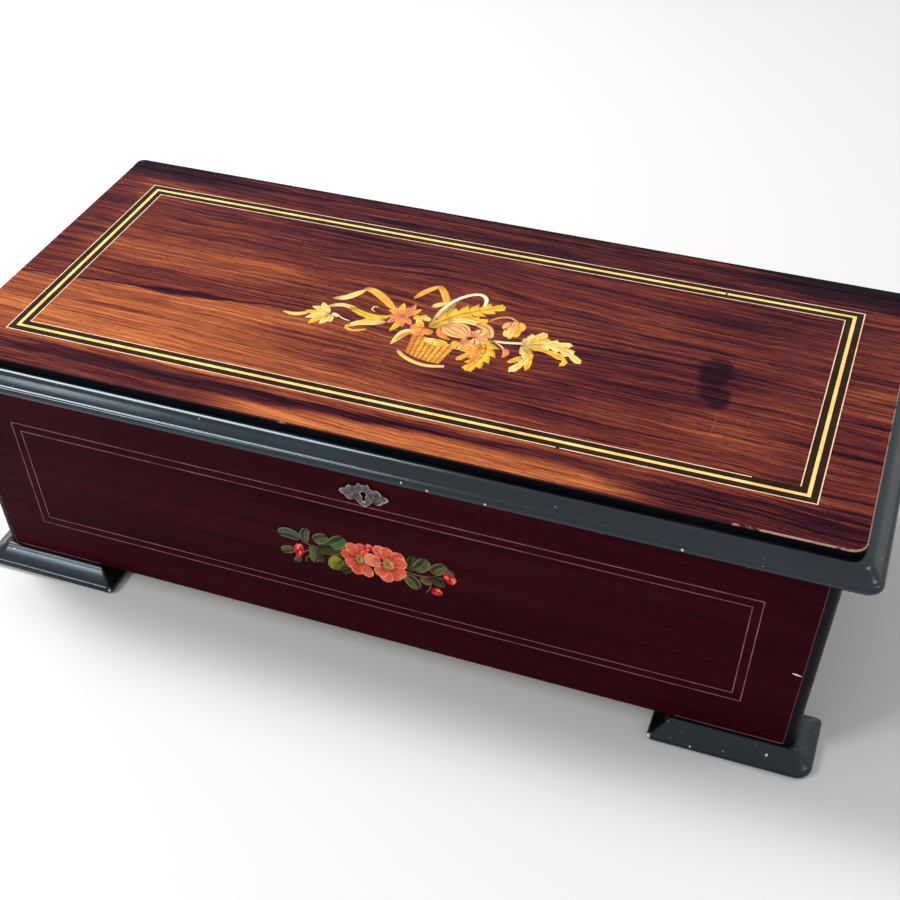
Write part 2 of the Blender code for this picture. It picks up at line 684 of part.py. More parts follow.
def lid_boards(parent):
    """The lid's board, its ebonised back strip and the three lengths of moulding mitred round it."""
    half = LID_LENGTH / 2
    strip_y = BACK_Y - LID_BACK_STRIP
    low = (-half, LID_FRONT)
    high = (half, strip_y - SEAT)
    stations = rectangle_stations(low, high, (LID_CORNER, LID_CORNER, 0.0, 0.0), 5)
    section = [(-LID_EASED_EDGE, LID_TOP), (0.0, LID_TOP - LID_EASED_EDGE), (0.0, LID_Z)]
    board = swept("lid_board", stations, section, "rosewood", True, False, parent)
    strip_top = LID_TOP - LID_BACK_STEP
    centre_y = BACK_Y - LID_BACK_CORNER
    outline = [(-half, strip_y), (half, strip_y)]
    outline += arc((half - LID_BACK_CORNER, centre_y), LID_BACK_CORNER, 0, 90, 5)
    outline += arc((-half + LID_BACK_CORNER, centre_y), LID_BACK_CORNER, 90, 180, 5)
    strip = prism("lid_back_strip", outline, "Z", LID_Z, strip_top, "ebonised", parent)
    profile = moulding_profile()
    left = (-half + LID_CORNER, LID_FRONT + LID_CORNER)
    right = (half - LID_CORNER, LID_FRONT + LID_CORNER)
    seam = math.degrees(SEAT / 2 / LID_CORNER)
    growth = (MOULDING_CORNER - LID_CORNER) / MOULDING_PROJECTION
    front = corner_stations(*left, LID_CORNER, 225 + seam, 270, 4, growth)
    front += corner_stations(*right, LID_CORNER, 270, 315 - seam, 4, growth)
    swept("lid_moulding_front", front, profile, "ebonised", parent=parent)
    side = corner_stations(*left, LID_CORNER, 180, 225 - seam, 4, growth)
    side = [((-half, BACK_Y), (-1.0, 0.0))] + side
    swept("lid_moulding_left", side, profile, "ebonised", parent=parent)
    side = corner_stations(*right, LID_CORNER, 315 + seam, 360, 4, growth)
    side = side + [((half, BACK_Y), (1.0, 0.0))]
    swept("lid_moulding_right", side, profile, "ebonised", parent=parent)
    return board, strip


def knuckle_spans(centre):
    """The start and end of each hinge knuckle along X."""
    pitch = HINGE_LENGTH / KNUCKLE_COUNT
    first = centre - HINGE_LENGTH / 2
    return [(first + i * pitch + SEAT / 2, first + (i + 1) * pitch - SEAT / 2) for i in range(KNUCKLE_COUNT)]


def hinge_leaf(name, centre, upper, parent=None):
    """One leaf of a butt hinge with its knuckles. The lower leaf carries the pin."""
    low_z = LID_Z if upper else RIM_Z - HINGE_LEAF
    start = centre - HINGE_LENGTH / 2
    leaf = block(
        name,
        (start, BACK_Y - HINGE_LEAF_WIDTH, low_z),
        (start + HINGE_LENGTH, BACK_Y - SEAT, low_z + HINGE_LEAF),
        "brass",
        parent,
    )
    spans = knuckle_spans(centre)[1::2] if upper else knuckle_spans(centre)[0::2]
    axis = (HINGE_Y, HINGE_Z)
    shapes = []
    for i, (low, high) in enumerate(spans):
        tab = ((low, BACK_Y - PAST, low_z), (high, HINGE_Y, low_z + HINGE_LEAF))
        shapes.append(block(f"{name}_tab_{i}", *tab, "brass"))
        shapes.append(rod(f"{name}_knuckle_{i}", "X", axis, KNUCKLE_RADIUS, low, high, "brass", PIN_SIDES))
    fuse(leaf, *shapes)
    if upper:
        bore = HINGE_PIN_RADIUS + RUNNING
        span = (start - PAST, start + HINGE_LENGTH + PAST)
        cut(leaf, rod(f"{name}_bore", "X", axis, bore, *span, "brass", PIN_SIDES))
    else:
        span = (start + PAST, start + HINGE_LENGTH - PAST)
        fuse(leaf, rod(f"{name}_pin", "X", axis, HINGE_PIN_RADIUS, *span, "brass", PIN_SIDES))
    return leaf


def hinges(back_panel, board, strip, lid):
    """Two butt hinges, let into the rim and the lid's underside."""
    for side, centre in (("left", -SIDE_X + HINGE_INSET), ("right", SIDE_X - HINGE_INSET)):
        hinge_leaf(f"case_hinge_leaf_{side}", centre, False)
        hinge_leaf(f"lid_hinge_leaf_{side}", centre, True, lid)
        front = BACK_Y - HINGE_LEAF_WIDTH - SEAT
        start = centre - HINGE_LENGTH / 2 - SEAT
        end = centre + HINGE_LENGTH / 2 + SEAT
        low = (start, front, RIM_Z - HINGE_LEAF - SEAT)
        cut(back_panel, block(f"rim_recess_{side}", low, (end, BACK_Y + PAST, RIM_Z + PAST), "mahogany"))
        for name, wood in (("board", board), ("strip", strip)):
            high = (end, BACK_Y + PAST, LID_Z + HINGE_LEAF + SEAT)
            cut(wood, block(f"{name}_recess_{side}", (start, front, LID_Z - PAST), high, "rosewood"))


def escutcheon_outline(centre):
    """A scrolled cartouche round the keyhole: lobes at its ends, above and below, with hollows between."""
    outline = []
    for i in range(ESCUTCHEON_POINTS):
        angle = 2 * math.pi * i / ESCUTCHEON_POINTS
        hollow = 0.13 * math.cos(4 * angle) * abs(math.sin(2 * angle)) + 0.09 * math.sin(4 * angle) ** 2
        across = (1.0 - hollow) * ESCUTCHEON_WIDTH / 2 * math.cos(angle)
        up = (1.0 - hollow) * ESCUTCHEON_HEIGHT / 2 * math.sin(angle)
        outline.append((centre[0] + across, centre[1] + up))
    return outline


def lock(board, lid, bolt_pivot):
    """Escutcheon, lock case with its pocket, sliding bolt, and the lid's strike plate with its staple."""
    outline = escutcheon_outline((KEYHOLE_X, KEYHOLE_Z - ESCUTCHEON_DROP))
    face = FRONT_Y - SEAT
    plate = prism("escutcheon", outline, "Y", face - ESCUTCHEON_THICKNESS, face, "nickel")
    through = (face - ESCUTCHEON_THICKNESS - PAST, face + PAST)
    spot = (KEYHOLE_X, KEYHOLE_Z)
    hole = rod("escutcheon_hole_cut", "Y", spot, KEYHOLE_RADIUS, *through, "nickel", PIN_SIDES)
    slot = block(
        "escutcheon_slot_cut",
        (KEYHOLE_X - KEY_SLOT_WIDTH / 2, through[0], KEYHOLE_Z - 0.75 * KEY_SLOT_LENGTH),
        (KEYHOLE_X + KEY_SLOT_WIDTH / 2, through[1], KEYHOLE_Z),
        "nickel",
    )
    cut(plate, hole, slot)
    near = INNER_FRONT + SEAT
    far = near + LOCK_DEPTH
    top = RIM_Z - SEAT
    body = block(
        "lock_case",
        (KEYHOLE_X - LOCK_WIDTH / 2, near, top - LOCK_HEIGHT),
        (KEYHOLE_X + LOCK_WIDTH / 2, far, top),
        "brass",
    )
    middle = (near + far) / 2
    staple_half = BOLT_SIDE / 2 + SEAT + STAPLE_BAR
    pocket_half = staple_half + POCKET_MARGIN
    pocket_floor = top - STAPLE_DROP - 2 * POCKET_MARGIN
    staple_x = KEYHOLE_X + STAPLE_OFFSET
    bolt_end = staple_x - STAPLE_BAR - BOLT_GAP
    pocket = block(
        "lock_pocket_cut",
        (bolt_end - BOLT_LENGTH - POCKET_MARGIN, middle - pocket_half, pocket_floor),
        (staple_x + BOLT_THROW + 4 * POCKET_MARGIN, middle + pocket_half, top + PAST),
        "brass",
    )
    span = (near - PAST, near + KEY_WAY_DEPTH)
    key_way = rod("lock_key_cut", "Y", spot, KEYHOLE_RADIUS, *span, "brass", PIN_SIDES)
    cut(body, pocket, key_way)
    drop = top - STAPLE_DROP
    bolt_z = drop + STAPLE_BAR + SEAT
    bolt = block(
        "lock_bolt",
        (bolt_end - BOLT_LENGTH, middle - BOLT_SIDE / 2, bolt_z),
        (bolt_end, middle + BOLT_SIDE / 2, bolt_z + BOLT_SIDE),
        "steel",
        bolt_pivot,
    )
    guide_end = bolt_end + BOLT_GAP - BOLT_THROW - SEAT
    low = (bolt_end - BOLT_LENGTH, middle - pocket_half + SEAT, pocket_floor + SEAT)
    high = (guide_end, middle + pocket_half - SEAT, bolt_z + BOLT_SIDE)
    fuse(bolt, block("bolt_guide", low, high, "steel"))
    strike_z = LID_Z + HINGE_LEAF
    strike = block(
        "strike_plate",
        (KEYHOLE_X - STRIKE_LENGTH / 2, middle - staple_half, LID_Z),
        (KEYHOLE_X + STRIKE_LENGTH / 2, middle + staple_half, strike_z),
        "brass",
        lid,
    )
    staple = block(
        "staple",
        (staple_x - STAPLE_BAR, middle - staple_half, drop),
        (staple_x + STAPLE_BAR, middle + staple_half, strike_z - SEAT),
        "brass",
    )
    fuse(strike, staple)
    eye = block(
        "staple_eye_cut",
        (staple_x - 2 * STAPLE_BAR, middle - BOLT_SIDE / 2 - SEAT, bolt_z - SEAT),
        (staple_x + 2 * STAPLE_BAR, middle + BOLT_SIDE / 2 + SEAT, LID_Z - 2 * SEAT),
        "brass",
    )
    cut(strike, eye)
    recess = block(
        "strike_recess_cut",
        (KEYHOLE_X - STRIKE_LENGTH / 2 - SEAT, middle - staple_half - SEAT, LID_Z - PAST),
        (KEYHOLE_X + STRIKE_LENGTH / 2 + SEAT, middle + staple_half + SEAT, strike_z + SEAT),
        "rosewood",
    )
    cut(board, recess)


def bedplate():
    """The movement's cast plate on four short legs."""
    plate = block("bedplate", (BED_LEFT, BED_FRONT, BED_BOTTOM), (BED_RIGHT, BED_BACK, BED_TOP), "iron")
    legs = []
    inset = BED_LEG_INSET
    for i, x in enumerate((BED_LEFT + inset, BED_RIGHT - inset - BED_LEG)):
        for j, y in enumerate((BED_FRONT + inset, BED_BACK - inset - BED_LEG)):
            high = (x + BED_LEG, y + BED_LEG, (BED_BOTTOM + BED_TOP) / 2)
            legs.append(block(f"bed_leg_{i}_{j}", (x, y, FLOOR_Z + SEAT), high, "iron"))
    return fuse(plate, *legs)


def bridge(name, x, y, bore):
    """An upright bearing on the bedplate: a waisted plate with a round head and a foot."""
    base = BED_TOP + SEAT
    half = BRIDGE_BASE / 2
    waist = BRIDGE_WAIST * half
    outline = [(y - half, base), (y + half, base), (y + half, base + BRIDGE_FOOT)]
    outline.append((y + waist, base + 2 * BRIDGE_FOOT))
    outline += arc((y, AXIS_Z), BRIDGE_HEAD, 0, 180, 9)
    outline += [(y - waist, base + 2 * BRIDGE_FOOT), (y - half, base + BRIDGE_FOOT)]
    upright = prism(name, outline, "X", x, x + BRIDGE_THICKNESS, "brass")
    span = (x - PAST, x + BRIDGE_THICKNESS + PAST)
    return cut(upright, rod(f"{name}_bore", "X", (y, AXIS_Z), bore + RUNNING, *span, "brass", BORE_SIDES))


def barrel_work():
    """Barrel with its great wheel, the winding arbor with both ratchets, and the click."""
    left_bridge = bridge("barrel_bridge_left", LEFT_BRIDGE_X, BARREL_Y, ARBOR_RADIUS)
    bridge("barrel_bridge_right", BARREL_BRIDGE_X, BARREL_Y, ARBOR_RADIUS)
    axis = (BARREL_Y, AXIS_Z)
    spin = pivot("barrel_axis", (BARREL_X, *axis))
    bore = ARBOR_RADIUS + RUNNING
    end = BARREL_X + BARREL_WIDTH
    wall = BARREL_WALL
    shell = [
        (BARREL_X, bore),
        (BARREL_X, BARREL_RADIUS - wall / 2),
        (BARREL_X + wall / 2, BARREL_RADIUS),
        (end, BARREL_RADIUS),
        (end, bore),
        (end - wall, bore),
        (end - wall, BARREL_RADIUS - wall),
        (BARREL_X + wall, BARREL_RADIUS - wall),
        (BARREL_X + wall, bore),
    ]
    turned("spring_barrel", shell, "X", axis, "brass", 32, spin)
    teeth = gear_outline(GREAT_TEETH, GREAT_MODULE, -math.pi, axis)
    hole = circle(bore, BORE_SIDES, axis)
    ring_prism("great_wheel", teeth, hole, "X", GREAT_X, GREAT_X + GREAT_WIDTH, "brass", spin)
    wind = pivot("winding_axis", (LEFT_PARTITION_X, *axis))
    head = LEVER_X - LEVER_GAP
    arbor_end = BARREL_BRIDGE_X + BRIDGE_THICKNESS + ARBOR_HEAD
    wide = ARBOR_RADIUS + ARBOR_HEAD
    tip = head - 1.5 * ARBOR_HEAD
    arbor = [(tip, 0.0), (tip, wide), (head, wide), (head, ARBOR_RADIUS)]
    arbor += [(arbor_end - ARBOR_HEAD, ARBOR_RADIUS), (arbor_end, ARBOR_RADIUS - ARBOR_HEAD)]
    arbor.append((arbor_end, 0.0))
    turned("winding_arbor", arbor, "X", axis, "steel", BORE_SIDES, wind)
    for name, x, radius in (
        ("click_wheel", CLICK_WHEEL_X, CLICK_WHEEL_RADIUS),
        ("lever_ratchet", LEVER_RATCHET_X, LEVER_RATCHET_RADIUS),
    ):
        teeth = ratchet_outline(RATCHET_TEETH, radius, RATCHET_TOOTH, axis)
        ring_prism(name, teeth, hole, "X", x, x + RATCHET_WIDTH, "steel", wind)
    click_work(left_bridge)


def click_work(left_bridge):
    """The click that holds the winding arbor, and the lug and stud on the left bridge that carry it."""
    stud = (BARREL_Y + CLICK_SETBACK, AXIS_Z + CLICK_WHEEL_RADIUS + CLICK_RISE)
    tip_radius = CLICK_WHEEL_RADIUS + SEAT
    nose = (BARREL_Y - CLICK_REACH, AXIS_Z + math.sqrt(tip_radius**2 - CLICK_REACH**2))
    click_pivot = pivot("click_axis", (CLICK_WHEEL_X, *stud))
    outline = pawl_outline(stud, nose, PAWL_HEAD)
    click = prism("click", outline, "X", CLICK_WHEEL_X, CLICK_WHEEL_X + RATCHET_WIDTH, "steel", click_pivot)
    span = (CLICK_WHEEL_X - PAST, CLICK_WHEEL_X + RATCHET_WIDTH + PAST)
    cut(click, rod("click_bore", "X", stud, PAWL_STUD + RUNNING, *span, "steel", PIN_SIDES))
    ear = arc(stud, PAWL_HEAD + PAST, -45, 135, 7)
    ear += [(BARREL_Y, AXIS_Z + 0.85 * BRIDGE_HEAD), (BARREL_Y + BRIDGE_HEAD, AXIS_Z)]
    bridge_end = LEFT_BRIDGE_X + BRIDGE_THICKNESS
    lug = prism("click_lug", ear, "X", LEFT_BRIDGE_X + SEAT / 3, bridge_end - SEAT / 3, "brass")
    stud_span = (bridge_end - PAST, CLICK_WHEEL_X + RATCHET_WIDTH + SEAT)
    fuse(left_bridge, lug, rod("click_stud", "X", stud, PAWL_STUD, *stud_span, "steel", PIN_SIDES))


def winding_lever():
    """The lever leans forward on the arbor. Its pieces are drawn upright, about their pivot."""
    hinge = pivot("lever_axis", (0.0, BARREL_Y, AXIS_Z), LEVER_LEAN)
    outline = arc((0.0, 0.0), LEVER_HUB, 115, 425, 17) + arc((0.0, LEVER_LENGTH), LEVER_NECK, -30, 210, 9)
    arm = prism("winding_lever", outline, "X", LEVER_X, LEVER_X + LEVER_THICKNESS, "brass", hinge, True)
    stud_z = LEVER_RATCHET_RADIUS + SEAT + PAWL_LENGTH
    ratchet_end = LEVER_RATCHET_X + RATCHET_WIDTH
    span = (LEVER_X + PAST, ratchet_end)
    fuse(arm, rod("lever_stud", "X", (0.0, stud_z), PAWL_STUD, *span, "steel", PIN_SIDES, hinge, True))
    span = (LEVER_X - PAST, LEVER_X + LEVER_THICKNESS + PAST)
    bore = ARBOR_RADIUS + RUNNING
    cut(arm, rod("lever_bore", "X", (0.0, 0.0), bore, *span, "brass", BORE_SIDES, hinge, True))
    end = LEVER_X - SEAT
    shape = ((0.0, 0.6), (0.07, 0.75), (0.14, 0.5), (0.35, 0.85), (0.65, 1.0), (0.9, 0.8), (1.0, 0.3))
    grip = [(end - along * HANDLE_LENGTH, share * HANDLE_RADIUS) for along, share in shape]
    grip = [(end, 0.0), *grip, (end - HANDLE_LENGTH, 0.0)]
    turned("lever_handle", grip, "X", (0.0, LEVER_LENGTH), "ebonised", 16, hinge, True)
    pawl_axis = pivot("pawl_axis", (0.0, 0.0, stud_z))
    pawl_axis.parent = hinge
    lean = -0.25 * LEVER_RATCHET_RADIUS
    nose = (lean, math.sqrt((LEVER_RATCHET_RADIUS + SEAT) ** 2 - lean**2) - stud_z)
    outline = pawl_outline((0.0, 0.0), nose, PAWL_HEAD)
    span = (LEVER_RATCHET_X, ratchet_end - 2 * SEAT)
    pawl = prism("lever_pawl", outline, "X", *span, "steel", pawl_axis, True)
    span = (LEVER_RATCHET_X - PAST, ratchet_end + PAST)
    bore = PAWL_STUD + RUNNING
    cut(pawl, rod("pawl_bore", "X", (0.0, 0.0), bore, *span, "steel", PIN_SIDES, pawl_axis, True))


def cylinder_work():
    """Cylinder on its arbor, the driving pinion, the wheel at the far end and the tune-change snail."""
    bridge("cylinder_bridge_left", CYLINDER_BRIDGE_X, CYLINDER_Y, CYLINDER_ARBOR_RADIUS)
    bridge("cylinder_bridge_right", END_BRIDGE_X, CYLINDER_Y, CYLINDER_ARBOR_RADIUS)
    axis = (CYLINDER_Y, AXIS_Z)
    spin = pivot("cylinder_axis", (CYLINDER_X, *axis))
    radius = CYLINDER_ARBOR_RADIUS
    start = PINION_X - BRIDGE_EDGE
    end = END_BRIDGE_X + BRIDGE_THICKNESS + BRIDGE_EDGE
    taper = 0.2 * radius
    arbor = [(start, 0.0), (start, radius - taper), (start + taper, radius), (end - taper, radius)]
    arbor += [(end, radius - taper), (end, 0.0)]
    turned("cylinder_arbor", arbor, "X", axis, "steel", BORE_SIDES, spin)
    hole = circle(radius + RUNNING, BORE_SIDES, axis)
    teeth = gear_outline(PINION_TEETH, GREAT_MODULE, math.pi / PINION_TEETH, axis)
    ring_prism("cylinder_pinion", teeth, hole, "X", PINION_X, PINION_X + PINION_WIDTH, "steel", spin)
    teeth = gear_outline(CYLINDER_WHEEL_TEETH, TRAIN_MODULE, 0.0, axis)
    wheel_end = WHEEL_X + CYLINDER_WHEEL_WIDTH
    wheel = ring_prism("cylinder_wheel", teeth, hole, "X", WHEEL_X, wheel_end, "brass", spin)
    stud_z = AXIS_Z + SNAIL_OFFSET
    stud_axis = (CYLINDER_Y, stud_z)
    span = (SNAIL_X - SEAT, WHEEL_X + PAST)
    fuse(wheel, rod("snail_stud", "X", stud_axis, PAWL_STUD, *span, "steel", PIN_SIDES))
    shift = pivot("shift_axis", (CYLINDER_X, *axis))
    shift.parent = spin
    shift.matrix_parent_inverse = spin.matrix_world.inverted()
    bore = radius + RUNNING
    wall = CYLINDER_WALL
    dish = CYLINDER_DISH
    shell = [
        (CYLINDER_X + dish, bore),
        (CYLINDER_X + dish, CYLINDER_RADIUS - wall),
        (CYLINDER_X, CYLINDER_RADIUS - wall),
        (CYLINDER_X, CYLINDER_RADIUS),
        (CYLINDER_END, CYLINDER_RADIUS),
        (CYLINDER_END, CYLINDER_RADIUS - wall),
        (CYLINDER_END - dish, CYLINDER_RADIUS - wall),
        (CYLINDER_END - dish, bore),
        (CYLINDER_END - dish - wall, bore),
        (CYLINDER_END - dish - wall, CYLINDER_RADIUS - wall - SEAT),
        (CYLINDER_X + dish + wall, CYLINDER_RADIUS - wall - SEAT),
        (CYLINDER_X + dish + wall, bore),
    ]
    turned("cylinder", shell, "X", axis, "brass", 36, shift)
    snail_axis = pivot("snail_axis", (SNAIL_X, *stud_axis))
    snail_axis.parent = spin
    snail_axis.matrix_parent_inverse = spin.matrix_world.inverted()
    outline = []
    for step in range(SNAIL_STEPS):
        reach = SNAIL_RADIUS * (1.0 - SNAIL_DROP * step / (SNAIL_STEPS - 1))
        turn = 360 / SNAIL_STEPS
        outline += arc(stud_axis, reach, step * turn, (step + 1) * turn - 6, 4)
    hole = circle(PAWL_STUD + RUNNING, PIN_SIDES, stud_axis)
    ring_prism("tune_snail", outline, hole, "X", SNAIL_X, SNAIL_X + SNAIL_WIDTH, "steel", snail_axis)


def comb_work():
    """The steel comb, its slots deepening to the bass at the left, on its base."""
    pitch = COMB_LENGTH / COMB_TEETH
    outline = [(COMB_X + COMB_LENGTH, COMB_FRONT_Y), (COMB_X, COMB_FRONT_Y)]
    for i in range(COMB_TEETH):
        left = COMB_X + i * pitch
        right = left + pitch - COMB_SLOT
        outline += [(left, COMB_TIP_Y), (right, COMB_TIP_Y)]
        if i == COMB_TEETH - 1:
            outline[-1] = (COMB_X + COMB_LENGTH, COMB_TIP_Y)
            break
        share = i / (COMB_TEETH - 1)
        root = COMB_TIP_Y - BASS_TOOTH * (1 - share) ** 1.3 - TREBLE_TOOTH * (1 - (1 - share) ** 1.3)
        outline += [(right, root), (right + COMB_SLOT, root)]
    prism("comb", outline, "Z", COMB_Z, COMB_Z + COMB_THICKNESS, "steel")
    base = BED_TOP + SEAT
    top = COMB_Z - SEAT
    foot = COMB_BASE_FOOT
    back = COMB_FRONT_Y + COMB_BASE_DEPTH - foot
    front = COMB_FRONT_Y - 0.4 * foot
    profile = [
        (front - 0.6 * foot, base),
        (back + 1.4 * foot, base),
        (back + 1.4 * foot, base + foot),
        (back, base + 2 * foot),
        (back, top - 1.6 * foot),
        (back - 0.4 * foot, top),
        (front + 0.2 * foot, top),
        (front, top - 0.2 * foot),
        (front, base + foot),
        (front - 0.6 * foot, base + 0.6 * foot),
    ]
    prism("comb_base", profile, "X", COMB_X, COMB_X + COMB_LENGTH, "brass")


def governor_frame():
    """Two upright plates on a foot, tied by the arm that holds the endless screw's top pivot."""
    base = BED_TOP + SEAT
    foot_top = base + GOVERNOR_FOOT
    right = GOVERNOR_OUTER + GOVERNOR_PLATE
    low = (GOVERNOR_X, GOVERNOR_FRONT, base)
    frame = block("governor_frame", low, (right, GOVERNOR_BACK, foot_top), "brass")
    shapes = []
    inset = BED_LEG_INSET
    shoulder = SECOND_Z + GOVERNOR_MARGIN
    outline = [
        (GOVERNOR_FRONT + inset, base + inset),
        (GOVERNOR_BACK - inset, base + inset),
        (GOVERNOR_BACK - inset, shoulder),
        (SECOND_Y, shoulder + GOVERNOR_MARGIN / 2),
        (FIRST_Y, AXIS_Z + GOVERNOR_MARGIN + 2 * inset),
        (GOVERNOR_FRONT + inset, AXIS_Z + GOVERNOR_MARGIN - 2 * inset),
    ]
    for name, x in (("left", GOVERNOR_X), ("right", GOVERNOR_OUTER)):
        span = (x + SEAT / 6, x + GOVERNOR_PLATE - SEAT / 6)
        shapes.append(prism(f"governor_plate_{name}", outline, "X", *span, "brass"))
    half = GOVERNOR_ARM / 2
    low = (GOVERNOR_OUTER + SEAT, SCREW_Y - half - inset, shoulder - GOVERNOR_ARM / 2)
    high = (right - SEAT, SCREW_Y + half + inset, GOVERNOR_TOP - GOVERNOR_ARM / 8)
    shapes.append(block("governor_post", low, high, "brass"))
    low = (SCREW_X - half, SCREW_Y - half, GOVERNOR_TOP - GOVERNOR_ARM / 2)
    shapes.append(block("governor_arm", low, (right, SCREW_Y + half, GOVERNOR_TOP), "brass"))
    fuse(frame, *shapes)
    pivot_hole = GOVERNOR_ARBOR + RUNNING
    span = (GOVERNOR_X - PAST, right + PAST)
    screw_spot = (SCREW_X, SCREW_Y)
    top_span = (GOVERNOR_TOP - GOVERNOR_ARM / 2 - PAST, GOVERNOR_TOP - PAST)
    low_span = (base + SCREW_LIFT - SEAT, foot_top + PAST)
    holes = [
        rod("first_bore", "X", (FIRST_Y, AXIS_Z), pivot_hole, *span, "brass", PIN_SIDES),
        rod("second_bore", "X", (SECOND_Y, SECOND_Z), pivot_hole, *span, "brass", PIN_SIDES),
        rod("screw_bore_top", "Z", screw_spot, pivot_hole, *top_span, "brass", PIN_SIDES),
        rod("screw_bore_low", "Z", screw_spot, pivot_hole, *low_span, "brass", PIN_SIDES),
    ]
    return cut(frame, *holes)


def governor_wheels():
    """The two wheels, each one with its arbor and pinion."""
    first = pivot("first_axis", (GOVERNOR_X, FIRST_Y, AXIS_Z))
    axis = (FIRST_Y, AXIS_Z)
    pinion_x = WHEEL_X + (CYLINDER_WHEEL_WIDTH - FIRST_PINION_WIDTH) / 2
    wheel_x = GOVERNOR_INNER + GOVERNOR_WHEEL_GAP
    tooth = math.pi + math.pi / FIRST_PINION_TEETH
    outline = gear_outline(FIRST_PINION_TEETH, TRAIN_MODULE, tooth, axis)
    pinion = prism("first_pinion", outline, "X", pinion_x, pinion_x + FIRST_PINION_WIDTH, "steel")
    outline = gear_outline(FIRST_WHEEL_TEETH, SECOND_MODULE, SECOND_TILT, axis)
    wheel = prism("governor_wheel_1", outline, "X", wheel_x, wheel_x + GOVERNOR_WHEEL_WIDTH, "brass", first)
    arbor_end = GOVERNOR_OUTER + GOVERNOR_PLATE
    span = (pinion_x + PAST / 2, arbor_end)
    arbor = rod("first_arbor", "X", axis, GOVERNOR_ARBOR, *span, "steel", PIN_SIDES)
    fuse(wheel, arbor, pinion)
    second = pivot("second_axis", (GOVERNOR_X, SECOND_Y, SECOND_Z))
    axis = (SECOND_Y, SECOND_Z)
    screw_wheel_x = SCREW_X - GOVERNOR_WHEEL_WIDTH / 2
    tooth = math.pi / SCREW_WHEEL_TEETH
    outline = gear_outline(SCREW_WHEEL_TEETH, SCREW_MODULE, tooth, axis, 0.36)
    end = screw_wheel_x + GOVERNOR_WHEEL_WIDTH
    wheel = prism("governor_wheel_2", outline, "X", screw_wheel_x, end, "brass", second)
    tooth = SECOND_TILT + math.pi + math.pi / SECOND_PINION_TEETH
    outline = gear_outline(SECOND_PINION_TEETH, SECOND_MODULE, tooth, axis)
    pinion_span = (wheel_x - PAST / 2, wheel_x + GOVERNOR_WHEEL_WIDTH + PAST / 2)
    pinion = prism("second_pinion", outline, "X", *pinion_span, "steel")
    arbor = rod("second_arbor", "X", axis, GOVERNOR_ARBOR, GOVERNOR_X, arbor_end, "steel", PIN_SIDES)
    fuse(wheel, arbor, pinion)


def endless_screw():
    """The governor's upright screw, one unbroken thread round its shaft, with the fly above it."""
    spin = pivot("fly_axis", (SCREW_X, SCREW_Y, SECOND_Z))
    root = SCREW_RADIUS - 0.9 * SCREW_MODULE
    crest = SCREW_RADIUS + 0.8 * SCREW_MODULE
    sunk = root - SEAT
    sides = SCREW_SIDES
    sections = SCREW_TURNS * sides + 1
    toward_wheel = -math.pi / 2
    bm = bmesh.new()
    rings = []
    for i in range(sections + 1):
        turn = 2 * math.pi * (i - sections / 2) / sides
        angle = toward_wheel + turn
        middle = SECOND_Z + SCREW_LEAD * turn / (2 * math.pi)
        taper = min(1.0, i / 3, (sections - i) / 3)
        outer = root + (crest - root) * (0.1 + 0.9 * taper)
        section = [(sunk, 0.24), (outer, 0.1), (outer, -0.1), (sunk, -0.24)]
        ring = [
            bm.verts.new((SCREW_X + r * math.cos(angle), SCREW_Y + r * math.sin(angle), middle + SCREW_LEAD * lift))
            for r, lift in section
        ]
        rings.append(ring)
    for here, after in zip(rings, rings[1:]):
        for j in range(4):
            bm.faces.new((here[j], here[j - 1], after[j - 1], after[j]))
    bm.faces.new(rings[0])
    bm.faces.new(rings[-1])
    thread = add("screw_thread", bm, "steel")
    half = SCREW_HALF
    foot = BED_TOP + SEAT + SCREW_LIFT
    top = GOVERNOR_TOP - PAST - SEAT
    shaft = [
        (foot, 0.0),
        (foot, GOVERNOR_ARBOR),
        (SECOND_Z - half, GOVERNOR_ARBOR),
        (SECOND_Z - half, root),
        (SECOND_Z + half, root),
        (SECOND_Z + half, GOVERNOR_ARBOR),
        (top, GOVERNOR_ARBOR),
        (top, 0.0),
    ]
    screw = turned("endless_screw", shaft, "Z", (SCREW_X, SCREW_Y), "steel", sides, spin)
    fuse(screw, thread)
    fly_work(spin)


def fly_work(spin):
    """The air brake: two sheet wings on a hub, cut away above and below the hub."""
    spot = (SCREW_X, SCREW_Y)
    low = FLY_TOP - FLY_HEIGHT
    hub_low = FLY_TOP - 0.65 * FLY_HEIGHT
    hub_high = FLY_TOP - 0.35 * FLY_HEIGHT
    fly = rod("fly", "Z", spot, FLY_HUB, hub_low, hub_high, "brass", PIN_SIDES, spin)
    sheet = FLY_SHEET / 2
    wing_low = (SCREW_X - FLY_RADIUS, SCREW_Y - sheet, low)
    fuse(fly, block("fly_wings", wing_low, (SCREW_X + FLY_RADIUS, SCREW_Y + sheet, FLY_TOP), "brass"))
    bore = GOVERNOR_ARBOR + RUNNING
    cut(fly, rod("fly_bore", "Z", spot, bore, low - PAST, FLY_TOP + PAST, "brass", PIN_SIDES))
    window = FLY_HUB - SEAT
    for name, start, end in (("low", low - PAST, hub_low - SEAT), ("high", hub_high + SEAT, FLY_TOP + PAST)):
        corner = (SCREW_X - window, SCREW_Y - FLY_SHEET, start)
        cut(fly, block(f"fly_window_{name}", corner, (SCREW_X + window, SCREW_Y + FLY_SHEET, end), "brass"))


